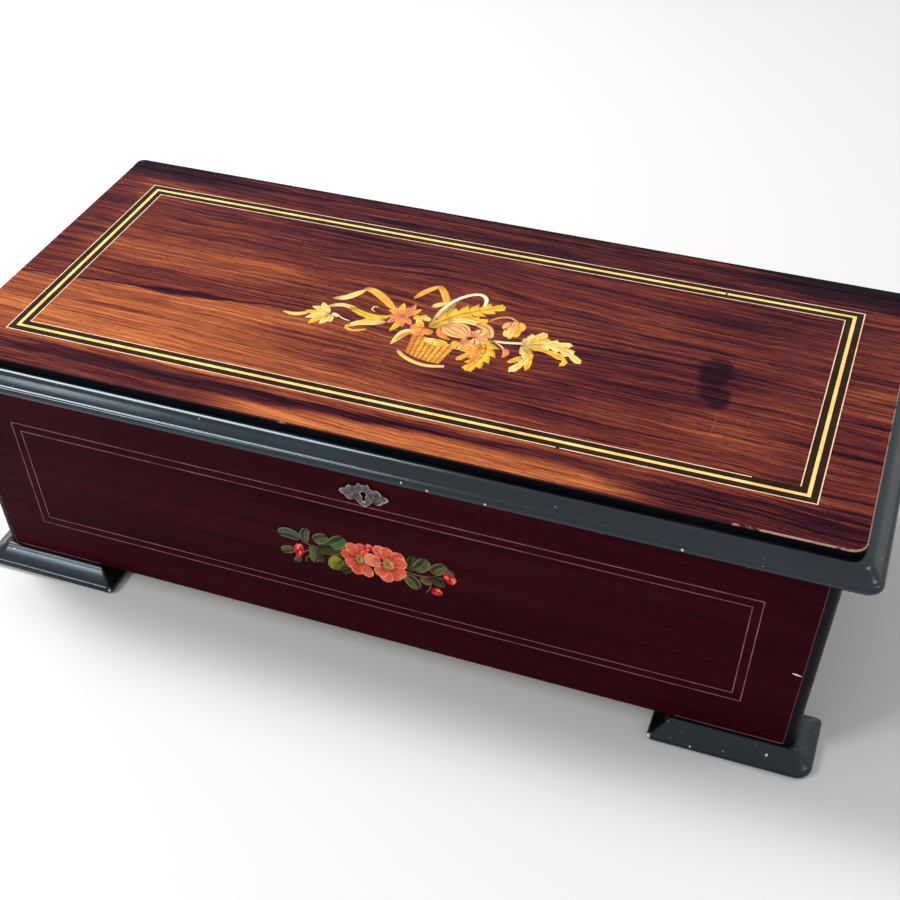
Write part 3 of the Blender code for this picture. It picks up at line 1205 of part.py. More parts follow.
def control_lever(name, y, z, shaft_end, finger, finger_up):
    """A lever with a turned knob in the right-hand well. Its shaft carries a finger to the movement."""
    hinge = pivot(f"{name}_axis", (CONTROL_ARM_X, y, z))
    outline = arc((y, z), 2 * FINGER_THICKNESS, 160, 380, 9)
    outline += arc((y, z + CONTROL_ARM), CONTROL_SHAFT + SEAT, 0, 180, 5)
    end = CONTROL_ARM_X + CONTROL_ARM_THICKNESS
    lever = prism(name, outline, "X", CONTROL_ARM_X, end, "steel", hinge)
    span = (shaft_end, CONTROL_ARM_X + PAST)
    shaft = rod(f"{name}_shaft", "X", (y, z), CONTROL_SHAFT, *span, "steel", PIN_SIDES)
    neck = 0.4 * CONTROL_KNOB
    shape = ((0.0, 0.4), (0.6, 0.4), (1.0, 0.85), (1.6, 1.0), (2.2, 0.85))
    knob = [(end + along * CONTROL_KNOB, share * CONTROL_KNOB) for along, share in shape]
    knob = [(end - PAST, 0.0), (end - PAST, neck), *knob[1:], (end + 2.6 * CONTROL_KNOB, 0.0)]
    grip = turned(f"{name}_knob", knob, "X", (y, z + CONTROL_ARM - PAST), "brass", PIN_SIDES)
    tip_z = z + finger if finger_up else z - finger
    arm = [
        (y - CONTROL_SHAFT, z),
        (y + CONTROL_SHAFT, z),
        (y + FINGER_WIDTH / 2, tip_z),
        (y - FINGER_WIDTH / 2, tip_z),
    ]
    start = shaft_end + SEAT / 3
    tip = prism(f"{name}_finger", arm, "X", start, start + FINGER_THICKNESS, "steel")
    return fuse(lever, shaft, grip, tip)


def controls():
    """The brass plate on the right partition and its two levers."""
    low_y = min(CHANGE_Y, STOP_Y) - CONTROL_MARGIN
    high_y = max(CHANGE_Y, STOP_Y) + CONTROL_MARGIN
    low_z = min(CHANGE_Z, STOP_Z) - CONTROL_MARGIN
    high_z = max(CHANGE_Z, STOP_Z) + CONTROL_MARGIN
    high = (CONTROL_X + CONTROL_PLATE, high_y, high_z)
    plate = block("control_plate", (CONTROL_X, low_y, low_z), high, "brass")
    for name, y, z in (("stop", STOP_Y, STOP_Z), ("change", CHANGE_Y, CHANGE_Z)):
        span = (CONTROL_X - PAST, CONTROL_X + CONTROL_PLATE + PAST)
        cut(plate, rod(f"{name}_plate_bore", "X", (y, z), CONTROL_SHAFT + RUNNING, *span, "brass", PIN_SIDES))
    control_lever("start_lever", STOP_Y, STOP_Z, SCREW_X - FINGER_THICKNESS / 2, STOP_FINGER, True)
    control_lever("change_lever", CHANGE_Y, CHANGE_Z, SNAIL_X, CHANGE_FINGER, False)


def glass_cover():
    """The lift-out glazed frame that lies on the partitions."""
    low = (LEFT_PARTITION_X + SEAT, GLASS_FRONT)
    high = (RIGHT_PARTITION_X + PARTITION_BOARD - SEAT, INNER_BACK - SEAT)
    stations = rectangle_stations(low, high, (0.0, 0.0, 0.0, 0.0))
    wide = GLASS_FRAME_WIDTH
    top = GLASS_Z + GLASS_FRAME_HEIGHT
    seat = top - GLASS_THICKNESS - 2 * SEAT
    profile = [
        (0.0, GLASS_Z),
        (0.0, top - GLASS_EASED_EDGE),
        (-GLASS_EASED_EDGE, top),
        (-wide + GLASS_LIP, top),
        (-wide + GLASS_LIP, seat),
        (-wide, seat),
        (-wide, GLASS_Z),
    ]
    swept("glass_frame", stations, profile, "inner_wood", round_path=True)
    inset = wide - GLASS_LIP + SEAT
    pane_low = (low[0] + inset, low[1] + inset, seat + SEAT)
    block("glass_pane", pane_low, (high[0] - inset, high[1] - inset, seat + SEAT + GLASS_THICKNESS), "glass")


def build():
    clear_scene()
    boards = case_boards()
    feet()
    lid = pivot("lid_axis", (0.0, HINGE_Y, HINGE_Z))
    board, strip = lid_boards(lid)
    hinges(boards[1], board, strip, lid)
    bolt_pivot = pivot("bolt_axis", (KEYHOLE_X, INNER_FRONT, RIM_Z))
    lock(board, lid, bolt_pivot)
    bedplate()
    barrel_work()
    winding_lever()
    cylinder_work()
    comb_work()
    governor_frame()
    governor_wheels()
    endless_screw()
    controls()
    glass_cover()


build()
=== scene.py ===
"""Dresses the lever-wound cylinder music box and sets its floor, lights and camera.

Metres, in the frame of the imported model: +X to the right, +Y to the back, +Z up, the origin on the floor
under the middle of the box.
"""

import json
import logging
import math
from dataclasses import dataclass, field
from enum import Enum
from typing import Callable, Optional, Sequence, Union

import bmesh
import bpy
from bmesh.types import BMesh, BMVert
from bpy.types import ColorRamp, ID, Material, Mesh, Modifier, Node, NodeSocket, NodeTree, Object
from mathutils import Matrix, Vector

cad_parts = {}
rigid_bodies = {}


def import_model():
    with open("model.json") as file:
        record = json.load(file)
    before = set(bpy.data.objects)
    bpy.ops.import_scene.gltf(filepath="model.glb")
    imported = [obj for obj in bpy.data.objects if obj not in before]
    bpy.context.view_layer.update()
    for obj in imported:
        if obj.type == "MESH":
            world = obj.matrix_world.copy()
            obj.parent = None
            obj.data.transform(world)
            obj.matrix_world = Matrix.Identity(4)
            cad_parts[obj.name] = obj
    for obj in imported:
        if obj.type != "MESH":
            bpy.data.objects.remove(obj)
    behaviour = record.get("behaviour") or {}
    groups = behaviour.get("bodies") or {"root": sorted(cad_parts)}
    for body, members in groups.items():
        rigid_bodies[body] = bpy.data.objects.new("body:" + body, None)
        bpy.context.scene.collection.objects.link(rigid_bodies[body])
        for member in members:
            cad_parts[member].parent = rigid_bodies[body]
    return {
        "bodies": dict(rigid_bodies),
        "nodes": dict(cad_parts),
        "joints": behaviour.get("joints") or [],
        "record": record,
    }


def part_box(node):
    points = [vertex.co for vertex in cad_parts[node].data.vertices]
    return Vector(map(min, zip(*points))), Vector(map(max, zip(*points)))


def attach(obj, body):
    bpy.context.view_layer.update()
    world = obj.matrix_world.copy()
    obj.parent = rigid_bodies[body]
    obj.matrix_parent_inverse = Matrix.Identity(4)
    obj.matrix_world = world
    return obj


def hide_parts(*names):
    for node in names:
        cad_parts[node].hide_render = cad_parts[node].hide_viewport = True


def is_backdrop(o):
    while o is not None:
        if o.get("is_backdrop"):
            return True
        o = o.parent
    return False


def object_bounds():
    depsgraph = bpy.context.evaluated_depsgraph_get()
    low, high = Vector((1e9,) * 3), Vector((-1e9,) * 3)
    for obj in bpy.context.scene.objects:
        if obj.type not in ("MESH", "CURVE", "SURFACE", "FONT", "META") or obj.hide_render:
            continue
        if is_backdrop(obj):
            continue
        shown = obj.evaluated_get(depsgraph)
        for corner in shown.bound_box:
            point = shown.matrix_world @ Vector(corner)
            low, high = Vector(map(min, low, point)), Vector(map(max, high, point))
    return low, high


MM = 0.001
SHAPE_MAP = "shape"

Colour = tuple[float, float, float]
Flat = tuple[float, float]
Place = tuple[float, float, float]
Number = Union["Wire", float]

log = logging.getLogger("music_box")


def shade(code: int) -> Colour:
    """Turns a colour as a screen shows it into the linear one that a shader takes.

    Args:
        code: the colour, with two hexadecimal digits each for red, green and blue.

    Returns:
        The three linear values, from 0 to 1.
    """
    scaled = [(code >> shift & 255) / 255 for shift in (16, 8, 0)]
    linear = [v / 12.92 if v <= 0.04045 else ((v + 0.055) / 1.055) ** 2.4 for v in scaled]
    return (linear[0], linear[1], linear[2])


def added(name: str, data: ID) -> Object:
    """A new object with this data, in the scene."""
    made = bpy.data.objects.new(name, data)
    bpy.context.scene.collection.objects.link(made)
    return made


class Wire:
    """A node's output, whose operators add the nodes of the sum that they write."""

    def __init__(self, bench: "Nodes", socket: NodeSocket) -> None:
        """Holds one output socket of a tree."""
        self.bench = bench
        self.socket = socket

    def __add__(self, other: Number) -> "Wire":
        """This value plus another."""
        return self.bench.sum("ADD", self, other)

    def __sub__(self, other: Number) -> "Wire":
        """This value less another."""
        return self.bench.sum("SUBTRACT", self, other)

    def __rsub__(self, other: Number) -> "Wire":
        """Another value less this one."""
        return self.bench.sum("SUBTRACT", other, self)

    def __mul__(self, other: Number) -> "Wire":
        """This value times another."""
        return self.bench.sum("MULTIPLY", self, other)

    def __truediv__(self, other: Number) -> "Wire":
        """This value divided by another."""
        return self.bench.sum("DIVIDE", self, other)

    __radd__ = __add__
    __rmul__ = __mul__

    def size(self) -> "Wire":
        """This value without its sign."""
        return self.bench.sum("ABSOLUTE", self, 0.0)

    def above(self, low: float, high: float) -> "Wire":
        """Rises smoothly from 0 at low to 1 at high.

        Args:
            low: the value up to which the result is 0.
            high: the value from which the result is 1.

        Returns:
            The eased share. A low that is larger than high turns the step round.
        """
        settings = {"interpolation_type": "SMOOTHSTEP"}
        ends = {"To Min": 0.0, "To Max": 1.0}
        if low > high:
            low, high = high, low
            ends = {"To Min": 1.0, "To Max": 0.0}
        values = {"Value": self, "From Min": low, "From Max": high, **ends}
        return self.bench.node("ShaderNodeMapRange", settings, values).first


@dataclass(frozen=True)
class Made:
    """A node of a tree."""

    bench: "Nodes"
    node: Node

    @property
    def first(self) -> Wire:
        """The node's first output that is in use."""
        return Wire(self.bench, next(s for s in self.node.outputs if s.enabled))

    def out(self, name: str) -> Wire:
        """The node's output of this name."""
        return Wire(self.bench, self.node.outputs[name])


class Nodes:
    """A node tree and the few ways in which nodes are added to it."""

    def __init__(self, tree: NodeTree) -> None:
        """Takes up a tree."""
        self.tree = tree

    def node(self, kind: str, settings: Optional[dict] = None, values: Optional[dict] = None) -> Made:
        """Adds a node.

        Args:
            kind: the node's type.
            settings: what is set on the node itself, and a ramp's stops under "stops".
            values: numbers, colours or wires for its inputs, by name or place.

        Returns:
            The node.
        """
        made = self.tree.nodes.new(kind)
        for key, value in (settings or {}).items():
            if key == "stops":
                self._set_stops(made.color_ramp, value)
            else:
                setattr(made, key, value)
        for key, value in (values or {}).items():
            self.feed(made.inputs[key], value)
        return Made(self, made)

    def feed(self, socket: NodeSocket, value: object) -> None:
        """Links a wire to a socket, or sets the socket's own value."""
        if isinstance(value, Wire):
            self.tree.links.new(value.socket, socket)
        elif socket.type == "RGBA" and len(value) == 3:
            socket.default_value = (*value, 1.0)
        else:
            socket.default_value = value

    @staticmethod
    def _set_stops(ramp: ColorRamp, stops: Sequence[tuple[float, Colour]]) -> None:
        """Gives a ramp its stops, from left to right."""
        while len(ramp.elements) < len(stops):
            ramp.elements.new(1.0)
        for element, (place, colour) in zip(ramp.elements, stops):
            element.position = place
            element.color = (*colour, 1.0)

    def sum(self, operation: str, first: Number, second: Number) -> Wire:
        """Adds one Math node for two values."""
        return self.node("ShaderNodeMath", {"operation": operation}, {0: first, 1: second}).first


class Bench(Nodes):
    """One material's node tree, with the steps that finishes share.

    Its point is the place on the piece, in metres of the model's frame.
    """

    def __init__(self, name: str) -> None:
        """Starts a material of this name on a bare Principled shader."""
        self.material = bpy.data.materials.new(name)
        self.material.use_nodes = True
        super().__init__(self.material.node_tree)
        self.shader = self.tree.nodes["Principled BSDF"]
        self.point = self.node("ShaderNodeTexCoord").out("Object")

    def along(self, point: Wire) -> tuple[Wire, Wire, Wire]:
        """The three numbers of a place."""
        split = self.node("ShaderNodeSeparateXYZ", values={0: point})
        return split.out("X"), split.out("Y"), split.out("Z")

    def unrolled(self) -> tuple[Wire, Wire]:
        """How far along and how far across its shape a laid piece a place is, both from 0 to 1."""
        laid = self.node("ShaderNodeUVMap", {"uv_map": SHAPE_MAP}).first
        return self.along(laid)[:2]

    def noise(
        self,
        scale: Union[float, Place],
        detail: float = 3.0,
        rough: float = 0.55,
        at: Optional[Wire] = None,
        shift: Place = (0.0, 0.0, 0.0),
    ) -> Wire:
        """Cloudy values from 0 to 1.

        Args:
            scale: how many clouds there are to a metre, or how many along each of X, Y and Z.
            detail: how many finer layers are laid over the first.
            rough: how strongly the finer layers show.
            at: the place that it is read at, or the place on the piece.
            shift: how many clouds further along X, Y and Z it is read, where they have their own scales.

        Returns:
            The value at each place.
        """
        at = at or self.point
        if isinstance(scale, tuple):
            values = {"Vector": at, "Scale": scale, "Location": shift}
            at, scale = self.node("ShaderNodeMapping", values=values).first, 1.0
        values = {"Vector": at, "Scale": scale, "Detail": detail, "Roughness": rough}
        return self.node("ShaderNodeTexNoise", values=values).first

    def ramp(self, share: Wire, *stops: tuple[float, Colour]) -> Wire:
        """The colour at a share along a row of stops."""
        return self.node("ShaderNodeValToRGB", {"stops": stops}, {0: share}).out("Color")

    def mix(self, share: Number, first: object, second: object) -> Wire:
        """Mixes two colours by a share from 0 to 1."""
        return self.node("ShaderNodeMix", {"data_type": "RGBA"}, {0: share, 6: first, 7: second}).first

    def bump(self, height: Wire, depth: float) -> Wire:
        """A normal from a height from 0 to 1, and from how many metres a height of 1 stands."""
        values = {"Height": height, "Strength": 1.0, "Distance": depth}
        return self.node("ShaderNodeBump", values=values).first

    def surface(self, **values: object) -> None:
        """Sets or links the shader's inputs, with spaces in their names written as underscores."""
        for name, value in values.items():
            self.feed(self.shader.inputs[name.replace("_", " ")], value)


@dataclass(frozen=True)
class Finish:
    """A surface finish. Each kind paints its own nodes."""

    name: str
    slot: str

    def material(self) -> Material:
        """The finish's material, made once."""
        made = bpy.data.materials.get(self.name)
        if made is None:
            bench = Bench(self.name)
            self.paint(bench)
            made = bench.material
        return made

    def paint(self, bench: Bench) -> None:
        """Adds the finish's nodes."""
        raise NotImplementedError


@dataclass(frozen=True)
class TonePatch:
    """An oval stretch of a veneer painted lighter or darker, partly the wood's own figure and partly painted
    light and shade.
    """

    middle: Flat
    size: Flat
    change: float


@dataclass(frozen=True)
class RosewoodVeneer(Finish):
    """Polished rosewood with its grain along X, with a knot. It is warm in front and dark at the back and right,
    partly the wood's own figure and partly painted light: painted light towards the front left, painted shade
    towards the back and right.

    The base is the tone behind the seam and the plank what is added in front of it. The crack gives slope and
    height of the seam's left and right parts. The flame is the middle of the pointed figure.
    """

    stops: tuple[tuple[float, Colour], ...] = (
        (0.0, shade(0x1C0614)),
        (0.2, shade(0x3C141E)),
        (0.45, shade(0x6A2E26)),
        (0.7, shade(0x98502E)),
        (1.0, shade(0xCE7A44)),
    )
    sheen: Colour = (0.8, 0.45, 0.36)
    level: float = 0.03
    base: float = 0.42
    plank: float = 0.24
    flame: Flat = (0.127, 0.029)
    flame_lean: float = 0.08
    crack: tuple[float, float, float, float] = (0.08, -0.0042, -0.15, -0.018)
    patches: tuple[TonePatch, ...] = tuple(
        TonePatch(*row)
        for row in (
            ((-0.16, 0.018), (0.075, 0.016), 0.16),
            ((-0.1, 0.062), (0.16, 0.03), -0.04),
            ((0.03, 0.075), (0.2, 0.026), -0.12),
            ((0.12, -0.002), (0.06, 0.028), -0.16),
            ((0.19, 0.008), (0.04, 0.01), -0.14),
            ((0.136, 0.028), (0.024, 0.006), -0.12),
            ((0.159, 0.01), (0.0075, 0.014), -0.24),
            ((0.164, -0.013), (0.0085, 0.01), -0.24),
            ((0.0, -0.036), (0.09, 0.016), -0.22),
            ((0.09, -0.045), (0.07, 0.016), -0.14),
            ((-0.2, -0.06), (0.06, 0.012), 0.08),
            ((0.0, -0.062), (0.12, 0.014), -0.1),
            ((0.2, 0.05), (0.06, 0.03), -0.1),
            ((0.235, -0.06), (0.03, 0.05), -0.1),
            ((-0.12, -0.0905), (0.14, 0.0048), -0.26),
            ((0.06, -0.0885), (0.12, 0.003), -0.2),
            ((-0.19, -0.102), (0.1, 0.008), -0.12),
            ((0.03, -0.101), (0.11, 0.0085), 0.4),
            ((0.21, -0.098), (0.07, 0.013), -0.2),
            ((-0.255, 0.05), (0.02, 0.06), -0.1),
            ((-0.25, 0.112), (0.08, 0.012), -0.3),
            ((0.0, 0.108), (0.26, 0.014), -0.18),
            ((0.26, 0.11), (0.09, 0.016), -0.3),
            ((-0.058, 0.1), (0.02, 0.0025), -0.3),
        )
    )

    def paint(self, bench: Bench) -> None:
        """Adds the finish's nodes."""
        x, y, _ = bench.along(bench.point)
        sway = bench.noise((5.0, 10.0, 1.0), 2.0)
        ripple = bench.noise((24.0, 36.0, 1.0), 2.0)
        bent = self.flamed(x, y) + (sway - 0.5) * 0.012 + (ripple - 0.5) * 0.004 + x * 0.03
        grain = bench.node("ShaderNodeCombineXYZ", values={"X": x, "Y": bent}).first
        bands = bench.noise((2.4, 60.0, 1.0), 2.0, at=grain)
        streaks = bench.noise((10.0, 440.0, 1.0), 3.0, 0.66, grain)
        veins = bench.noise((7.0, 300.0, 1.0), 3.0, 0.66, grain, (3.0, 1.0, 0.0))
        hairs = bench.noise((46.0, 1300.0, 1.0), 2.0, 0.6, grain)
        pores = bench.noise((190.0, 1500.0, 1.0), 1.0, at=grain).above(0.58, 0.7)
        tone = self.depth(bench, x, y, ripple, streaks) + (bands - 0.5) * 0.45 + (streaks - 0.5) * 1.15
        tone = tone + (hairs - 0.5) * 0.7 - veins.above(0.52, 0.62) * 0.2 - pores * 0.2 + 0.05
        colour = bench.ramp(tone, *self.stops)
        gloss = hairs * 0.1 + pores * 0.15 + 0.24
        ridges = bench.bump(hairs * 0.6 - pores, 0.00002)
        bench.surface(Base_Color=colour, Roughness=gloss, Normal=ridges)
        bench.surface(Specular_IOR_Level=self.level, Specular_Tint=self.sheen)

    def flamed(self, x: Wire, y: Wire) -> Wire:
        """The height across the grain, pulled into a pointed figure to the right of the middle."""
        beside = y - self.flame[1]
        side = beside.above(-0.026, 0.026) * 2.0 - 1.0
        share = x.above(-0.08, 0.02) * x.above(0.2, 0.13) * beside.size().above(0.06, 0.026)
        return beside + share * side * (x - self.flame[0]) * self.flame_lean

    def depth(self, bench: Bench, x: Wire, y: Wire, ripple: Wire, streaks: Wire) -> Wire:
        """How light the wood is at large, partly its own figure and partly painted light and shade.

        Args:
            bench: the bench.
            x: the place along the grain.
            y: the place across the grain.
            ripple: a coarse noise that makes edges uneven.
            streaks: the streaks, which fray edges along the grain.

        Returns:
            The tone before the fine grain.
        """
        left, low, right, high = self.crack
        line = bench.sum("MINIMUM", x * left + low, x * right + high) + (ripple - 0.5) * 0.008
        ahead = line - y
        fade = x.above(-0.02, 0.15) * 0.8 + x.above(-0.2, -0.26) * 0.35
        inside = y.above(-0.0835, -0.0815)
        tone = ahead.above(-0.0015, 0.0035) * (1.0 - fade) * inside * self.plank + self.base
        bulge = (x + 0.148).size().above(0.034, 0.008) * 0.0026
        width = bulge + 0.0007
        seam = bench.sum("SUBTRACT", 1.0, (ahead.size() / width).above(0.6, 1.3)) * x.above(-0.06, -0.1)
        tone = tone - seam * 0.5
        frayed_x = x + (ripple - 0.5) * 0.03
        frayed_y = y + (streaks - 0.5) * 0.012 + (ripple - 0.5) * 0.006
        # The patches are partly the wood's own figure and partly painted light and shade: lighter at the front
        # left, darker at the back and right.
        for patch in self.patches:
            across = (frayed_x - patch.middle[0]) / patch.size[0]
            along = (frayed_y - patch.middle[1]) / patch.size[1]
            away = across * across + along * along
            tone = tone + away.above(1.7, 0.35) * patch.change
        return tone


@dataclass(frozen=True)
class StainedMahogany(Finish):
    """Case boards stained oxblood and varnished, with a faint grain along X, or along Y on the ends."""

    stain: Colour = shade(0x1C0208)
    vein: Colour = shade(0x3C0A14)
    sheen: Colour = (0.8, 0.3, 0.36)
    level: float = 0.03
    across: bool = False

    def paint(self, bench: Bench) -> None:
        """Adds the finish's nodes."""
        scale = (420.0, 5.0, 420.0) if self.across else (5.0, 420.0, 420.0)
        broad = (60.0, 2.0, 60.0) if self.across else (2.0, 60.0, 60.0)
        streaks = bench.noise(scale, 4.0, 0.65)
        bands = bench.noise(broad, 3.0)
        cloud = bench.noise(9.0, 3.0)
        tone = (streaks - 0.5) * 1.1 + (bands - 0.5) * 1.2 + (cloud - 0.5) * 0.6 + 0.42
        colour = bench.ramp(tone, (0.0, self.stain), (1.0, self.vein))
        specks = bench.noise(900.0, 1.0).above(0.785, 0.81)
        colour = bench.mix(specks * 0.3, colour, shade(0x785050))
        gloss = cloud * 0.14 + streaks * 0.1 + 0.22
        ridges = bench.bump(streaks, 0.00002)
        bench.surface(Base_Color=colour, Roughness=gloss, Normal=ridges)
        bench.surface(Specular_IOR_Level=self.level, Specular_Tint=self.sheen)


@dataclass(frozen=True)
class EbonisedWood(Finish):
    """Black polished moulding, cloudy with age, with chips down to the pale ground.

    The knocks and highlights are larger pale spots, each with its place and its radius in mm: mostly chips, and
    on the lid moulding's right front corner a painted highlight in the chip colour.
    """

    black: Colour = shade(0x050609)
    worn: Colour = shade(0x1A1F27)
    chip: Colour = shade(0xCECCC8)
    chips: float = 1.0
    gloss: float = 0.07
    level: float = 0.52
    sheen: Colour = (0.72, 0.88, 1.0)
    knocks_and_highlights: tuple[tuple[Place, float], ...] = ()

    def paint(self, bench: Bench) -> None:
        """Adds the finish's nodes."""
        cloud = bench.noise((14.0, 28.0, 28.0), 4.0, 0.6)
        scuffs = bench.noise((60.0, 500.0, 500.0), 4.0, 0.7)
        flecks = bench.noise(330.0, 2.0, 0.7).above(0.735, 0.75)
        chips = flecks * bench.noise(30.0, 2.0).above(0.46, 0.56) * self.chips
        colour = bench.mix((cloud - 0.3).above(0.1, 0.5) * 0.5 + scuffs * 0.2, self.black, self.worn)
        fray = bench.noise(900.0, 1.0) - 0.5
        # These spots join the chip mask; on the lid moulding one of them is a painted highlight.
        for spot, size in self.knocks_and_highlights:
            radius = size * MM
            ends = {0: bench.point, 1: tuple(value * MM for value in spot)}
            away = bench.node("ShaderNodeVectorMath", {"operation": "DISTANCE"}, ends).out("Value")
            chips = bench.sum("MAXIMUM", chips, (away + fray * radius).above(radius, 0.7 * radius))
        colour = bench.mix(chips, colour, self.chip)
        gloss = cloud * 0.1 + scuffs * 0.08 + self.gloss
        ridges = bench.bump(scuffs * 0.6 + cloud - chips * 2.0, 0.00003)
        bench.surface(Base_Color=colour, Roughness=gloss, Normal=ridges)
        bench.surface(Specular_IOR_Level=self.level, Specular_Tint=self.sheen)


@dataclass(frozen=True)
class WornEdge(Finish):
    """An arris rubbed through to pale wood, more to the right, with stretches where the stain is left."""

    pale: Colour = shade(0xB28A7A)
    dark: Colour = shade(0x301418)
    broken: float = 0.35

    def paint(self, bench: Bench) -> None:
        """Adds the finish's nodes."""
        x, _, _ = bench.along(bench.point)
        fine = bench.noise(260.0, 3.0, 0.6)
        long = bench.noise(38.0, 2.0)
        side = x.above(0.15, 0.235) * 0.24
        left = (fine * 0.5 + long * 0.5 - side).above(self.broken - 0.05, self.broken + 0.05)
        colour = bench.mix(left, self.pale, self.dark)
        bench.surface(Base_Color=colour, Roughness=fine * 0.2 + 0.4, Specular_IOR_Level=0.1)


@dataclass(frozen=True)
class PlainWood(Finish):
    """Bare or oiled wood of the inside, with its grain along one direction."""

    light: Colour = shade(0xB08056)
    dark: Colour = shade(0x764A2C)
    grain: Place = (6.0, 260.0, 260.0)
    rough: float = 0.5

    def paint(self, bench: Bench) -> None:
        """Adds the finish's nodes."""
        streaks = bench.noise(self.grain, 5.0, 0.7)
        cloud = bench.noise(12.0, 3.0)
        colour = bench.ramp(streaks * 0.75 + cloud * 0.25, (0.3, self.dark), (0.7, self.light))
        ridges = bench.bump(streaks, 0.00008)
        bench.surface(Base_Color=colour, Roughness=streaks * 0.15 + self.rough, Normal=ridges)


@dataclass(frozen=True)
class Metal(Finish):
    """Worked metal with a brushed grain, cloudy with age."""

    bright: Colour = shade(0xCEAC68)
    dull: Colour = shade(0x96703A)
    brushed: Place = (40.0, 1600.0, 1600.0)
    rough: float = 0.24
    depth: float = 0.00001

    def paint(self, bench: Bench) -> None:
        """Adds the finish's nodes."""
        grain = bench.noise(self.brushed, 2.0, 0.6)
        cloud = bench.noise(34.0, 4.0, 0.6)
        spots = bench.noise(210.0, 3.0, 0.6).above(0.62, 0.75)
        colour = bench.mix(cloud.above(0.35, 0.75) * 0.7 + spots * 0.3, self.bright, self.dull)
        gloss = cloud * 0.16 + grain * 0.08 + spots * 0.1 + self.rough
        ridges = bench.bump(grain, self.depth)
        bench.surface(Base_Color=colour, Roughness=gloss, Normal=ridges, Metallic=1.0)


@dataclass(frozen=True)
class CastIron(Finish):
    """Sand-cast bed painted in dull bronze, with a fine grain and rubbed high spots."""

    paint_colour: Colour = shade(0x745A34)
    rubbed: Colour = shade(0x463E32)

    def paint(self, bench: Bench) -> None:
        """Adds the finish's nodes."""
        sand = bench.noise(1100.0, 3.0, 0.6)
        cloud = bench.noise(26.0, 4.0, 0.6)
        colour = bench.mix(cloud.above(0.42, 0.68), self.paint_colour, self.rubbed)
        ridges = bench.bump(sand, 0.0001)
        bench.surface(Base_Color=colour, Roughness=sand * 0.2 + 0.36, Normal=ridges, Metallic=0.55)


@dataclass(frozen=True)
class ClearGlass(Finish):
    """The cover's clear pane, with the faintest waviness."""

    tint: Colour = shade(0xECF4F1)

    def paint(self, bench: Bench) -> None:
        """Adds the finish's nodes."""
        waves = bench.noise(16.0, 2.0)
        smears = bench.noise(60.0, 4.0, 0.7).above(0.55, 0.8)
        ridges = bench.bump(waves, 0.00006)
        bench.surface(Base_Color=self.tint, Roughness=smears * 0.05 + 0.01, Normal=ridges)
        bench.surface(Transmission_Weight=1.0, IOR=1.45)


@dataclass(frozen=True)
class Stringing(Finish):
    """A line of inlaid boxwood or dyed wood, uneven in tone along its length."""

    pale: Colour = shade(0xF6D8BE)
    deep: Colour = shade(0xCEA078)

    def paint(self, bench: Bench) -> None:
        """Adds the finish's nodes."""
        cloud = bench.noise(60.0, 4.0, 0.65)
        fine = bench.noise(900.0, 2.0)
        colour = bench.mix((cloud * 0.7 + fine * 0.3).above(0.35, 0.72), self.pale, self.deep)
        bench.surface(Base_Color=colour, Roughness=cloud * 0.15 + 0.3, Normal=bench.bump(fine, 0.00001))
        bench.surface(Specular_IOR_Level=0.04)


@dataclass(frozen=True)
class InlaidWood(Finish):
    """A cut piece of coloured veneer, scorched in hot sand at its root and one side, with engraved lines."""

    light: Colour = shade(0xEEBE60)
    deep: Colour = shade(0xD6943E)
    scorch: Colour = shade(0x703E1A)
    vein: float = 0.5
    lines: float = 0.0

    def paint(self, bench: Bench) -> None:
        """Adds the finish's nodes."""
        along, across = bench.unrolled()
        grain = bench.noise((90.0, 900.0, 900.0), 3.0, 0.6)
        cloud = bench.noise(150.0, 2.0)
        colour = bench.mix((grain * 0.5 + cloud * 0.5).above(0.36, 0.66), self.light, self.deep)
        root = along.above(0.3, 0.0) * 0.5
        side = across.above(0.24, 0.0) * 0.45
        rib = (across - 0.5).size().above(0.09, 0.03) * self.vein
        dark = root + side + rib
        if self.lines:
            place = bench.sum("FRACT", across * self.lines, 0.0)
            dark = dark + (place - 0.5).size().above(0.3, 0.48) * 0.6
        colour = bench.mix(bench.sum("MINIMUM", dark, 0.8), colour, self.scorch)
        bench.surface(Base_Color=colour, Roughness=grain * 0.12 + 0.28, Specular_IOR_Level=0.1)


@dataclass(frozen=True)
class WovenWood(Finish):
    """The basket of the inlay: strips of boxwood woven round dark stakes."""

    light: Colour = shade(0xF0B23E)
    deep: Colour = shade(0xD68A2C)
    left: Colour = shade(0xCE7034)
    dark: Colour = shade(0x683A14)
    rows: float = 7.0
    stakes: float = 8.0

    def paint(self, bench: Bench) -> None:
        """Adds the finish's nodes."""
        along, across = bench.unrolled()
        stake = along * self.stakes
        odd = bench.sum("FLOORED_MODULO", bench.sum("FLOOR", stake, 0.0), 2.0)
        row = bench.sum("FRACT", across * self.rows + odd * 0.5, 0.0)
        post = bench.sum("FRACT", stake, 0.0)
        gap = (row - 0.5).size().above(0.34, 0.48)
        edge = (post - 0.5).size().above(0.3, 0.46)
        cloud = bench.noise(240.0, 3.0)
        colour = bench.mix(cloud.above(0.35, 0.65), self.light, self.deep)
        colour = bench.mix(along.above(0.3, 0.0), colour, self.left)
        colour = bench.mix(bench.sum("MAXIMUM", gap * 0.5, edge * 0.85), colour, self.dark)
        bench.surface(Base_Color=colour, Roughness=cloud * 0.1 + 0.3, Specular_IOR_Level=0.1)


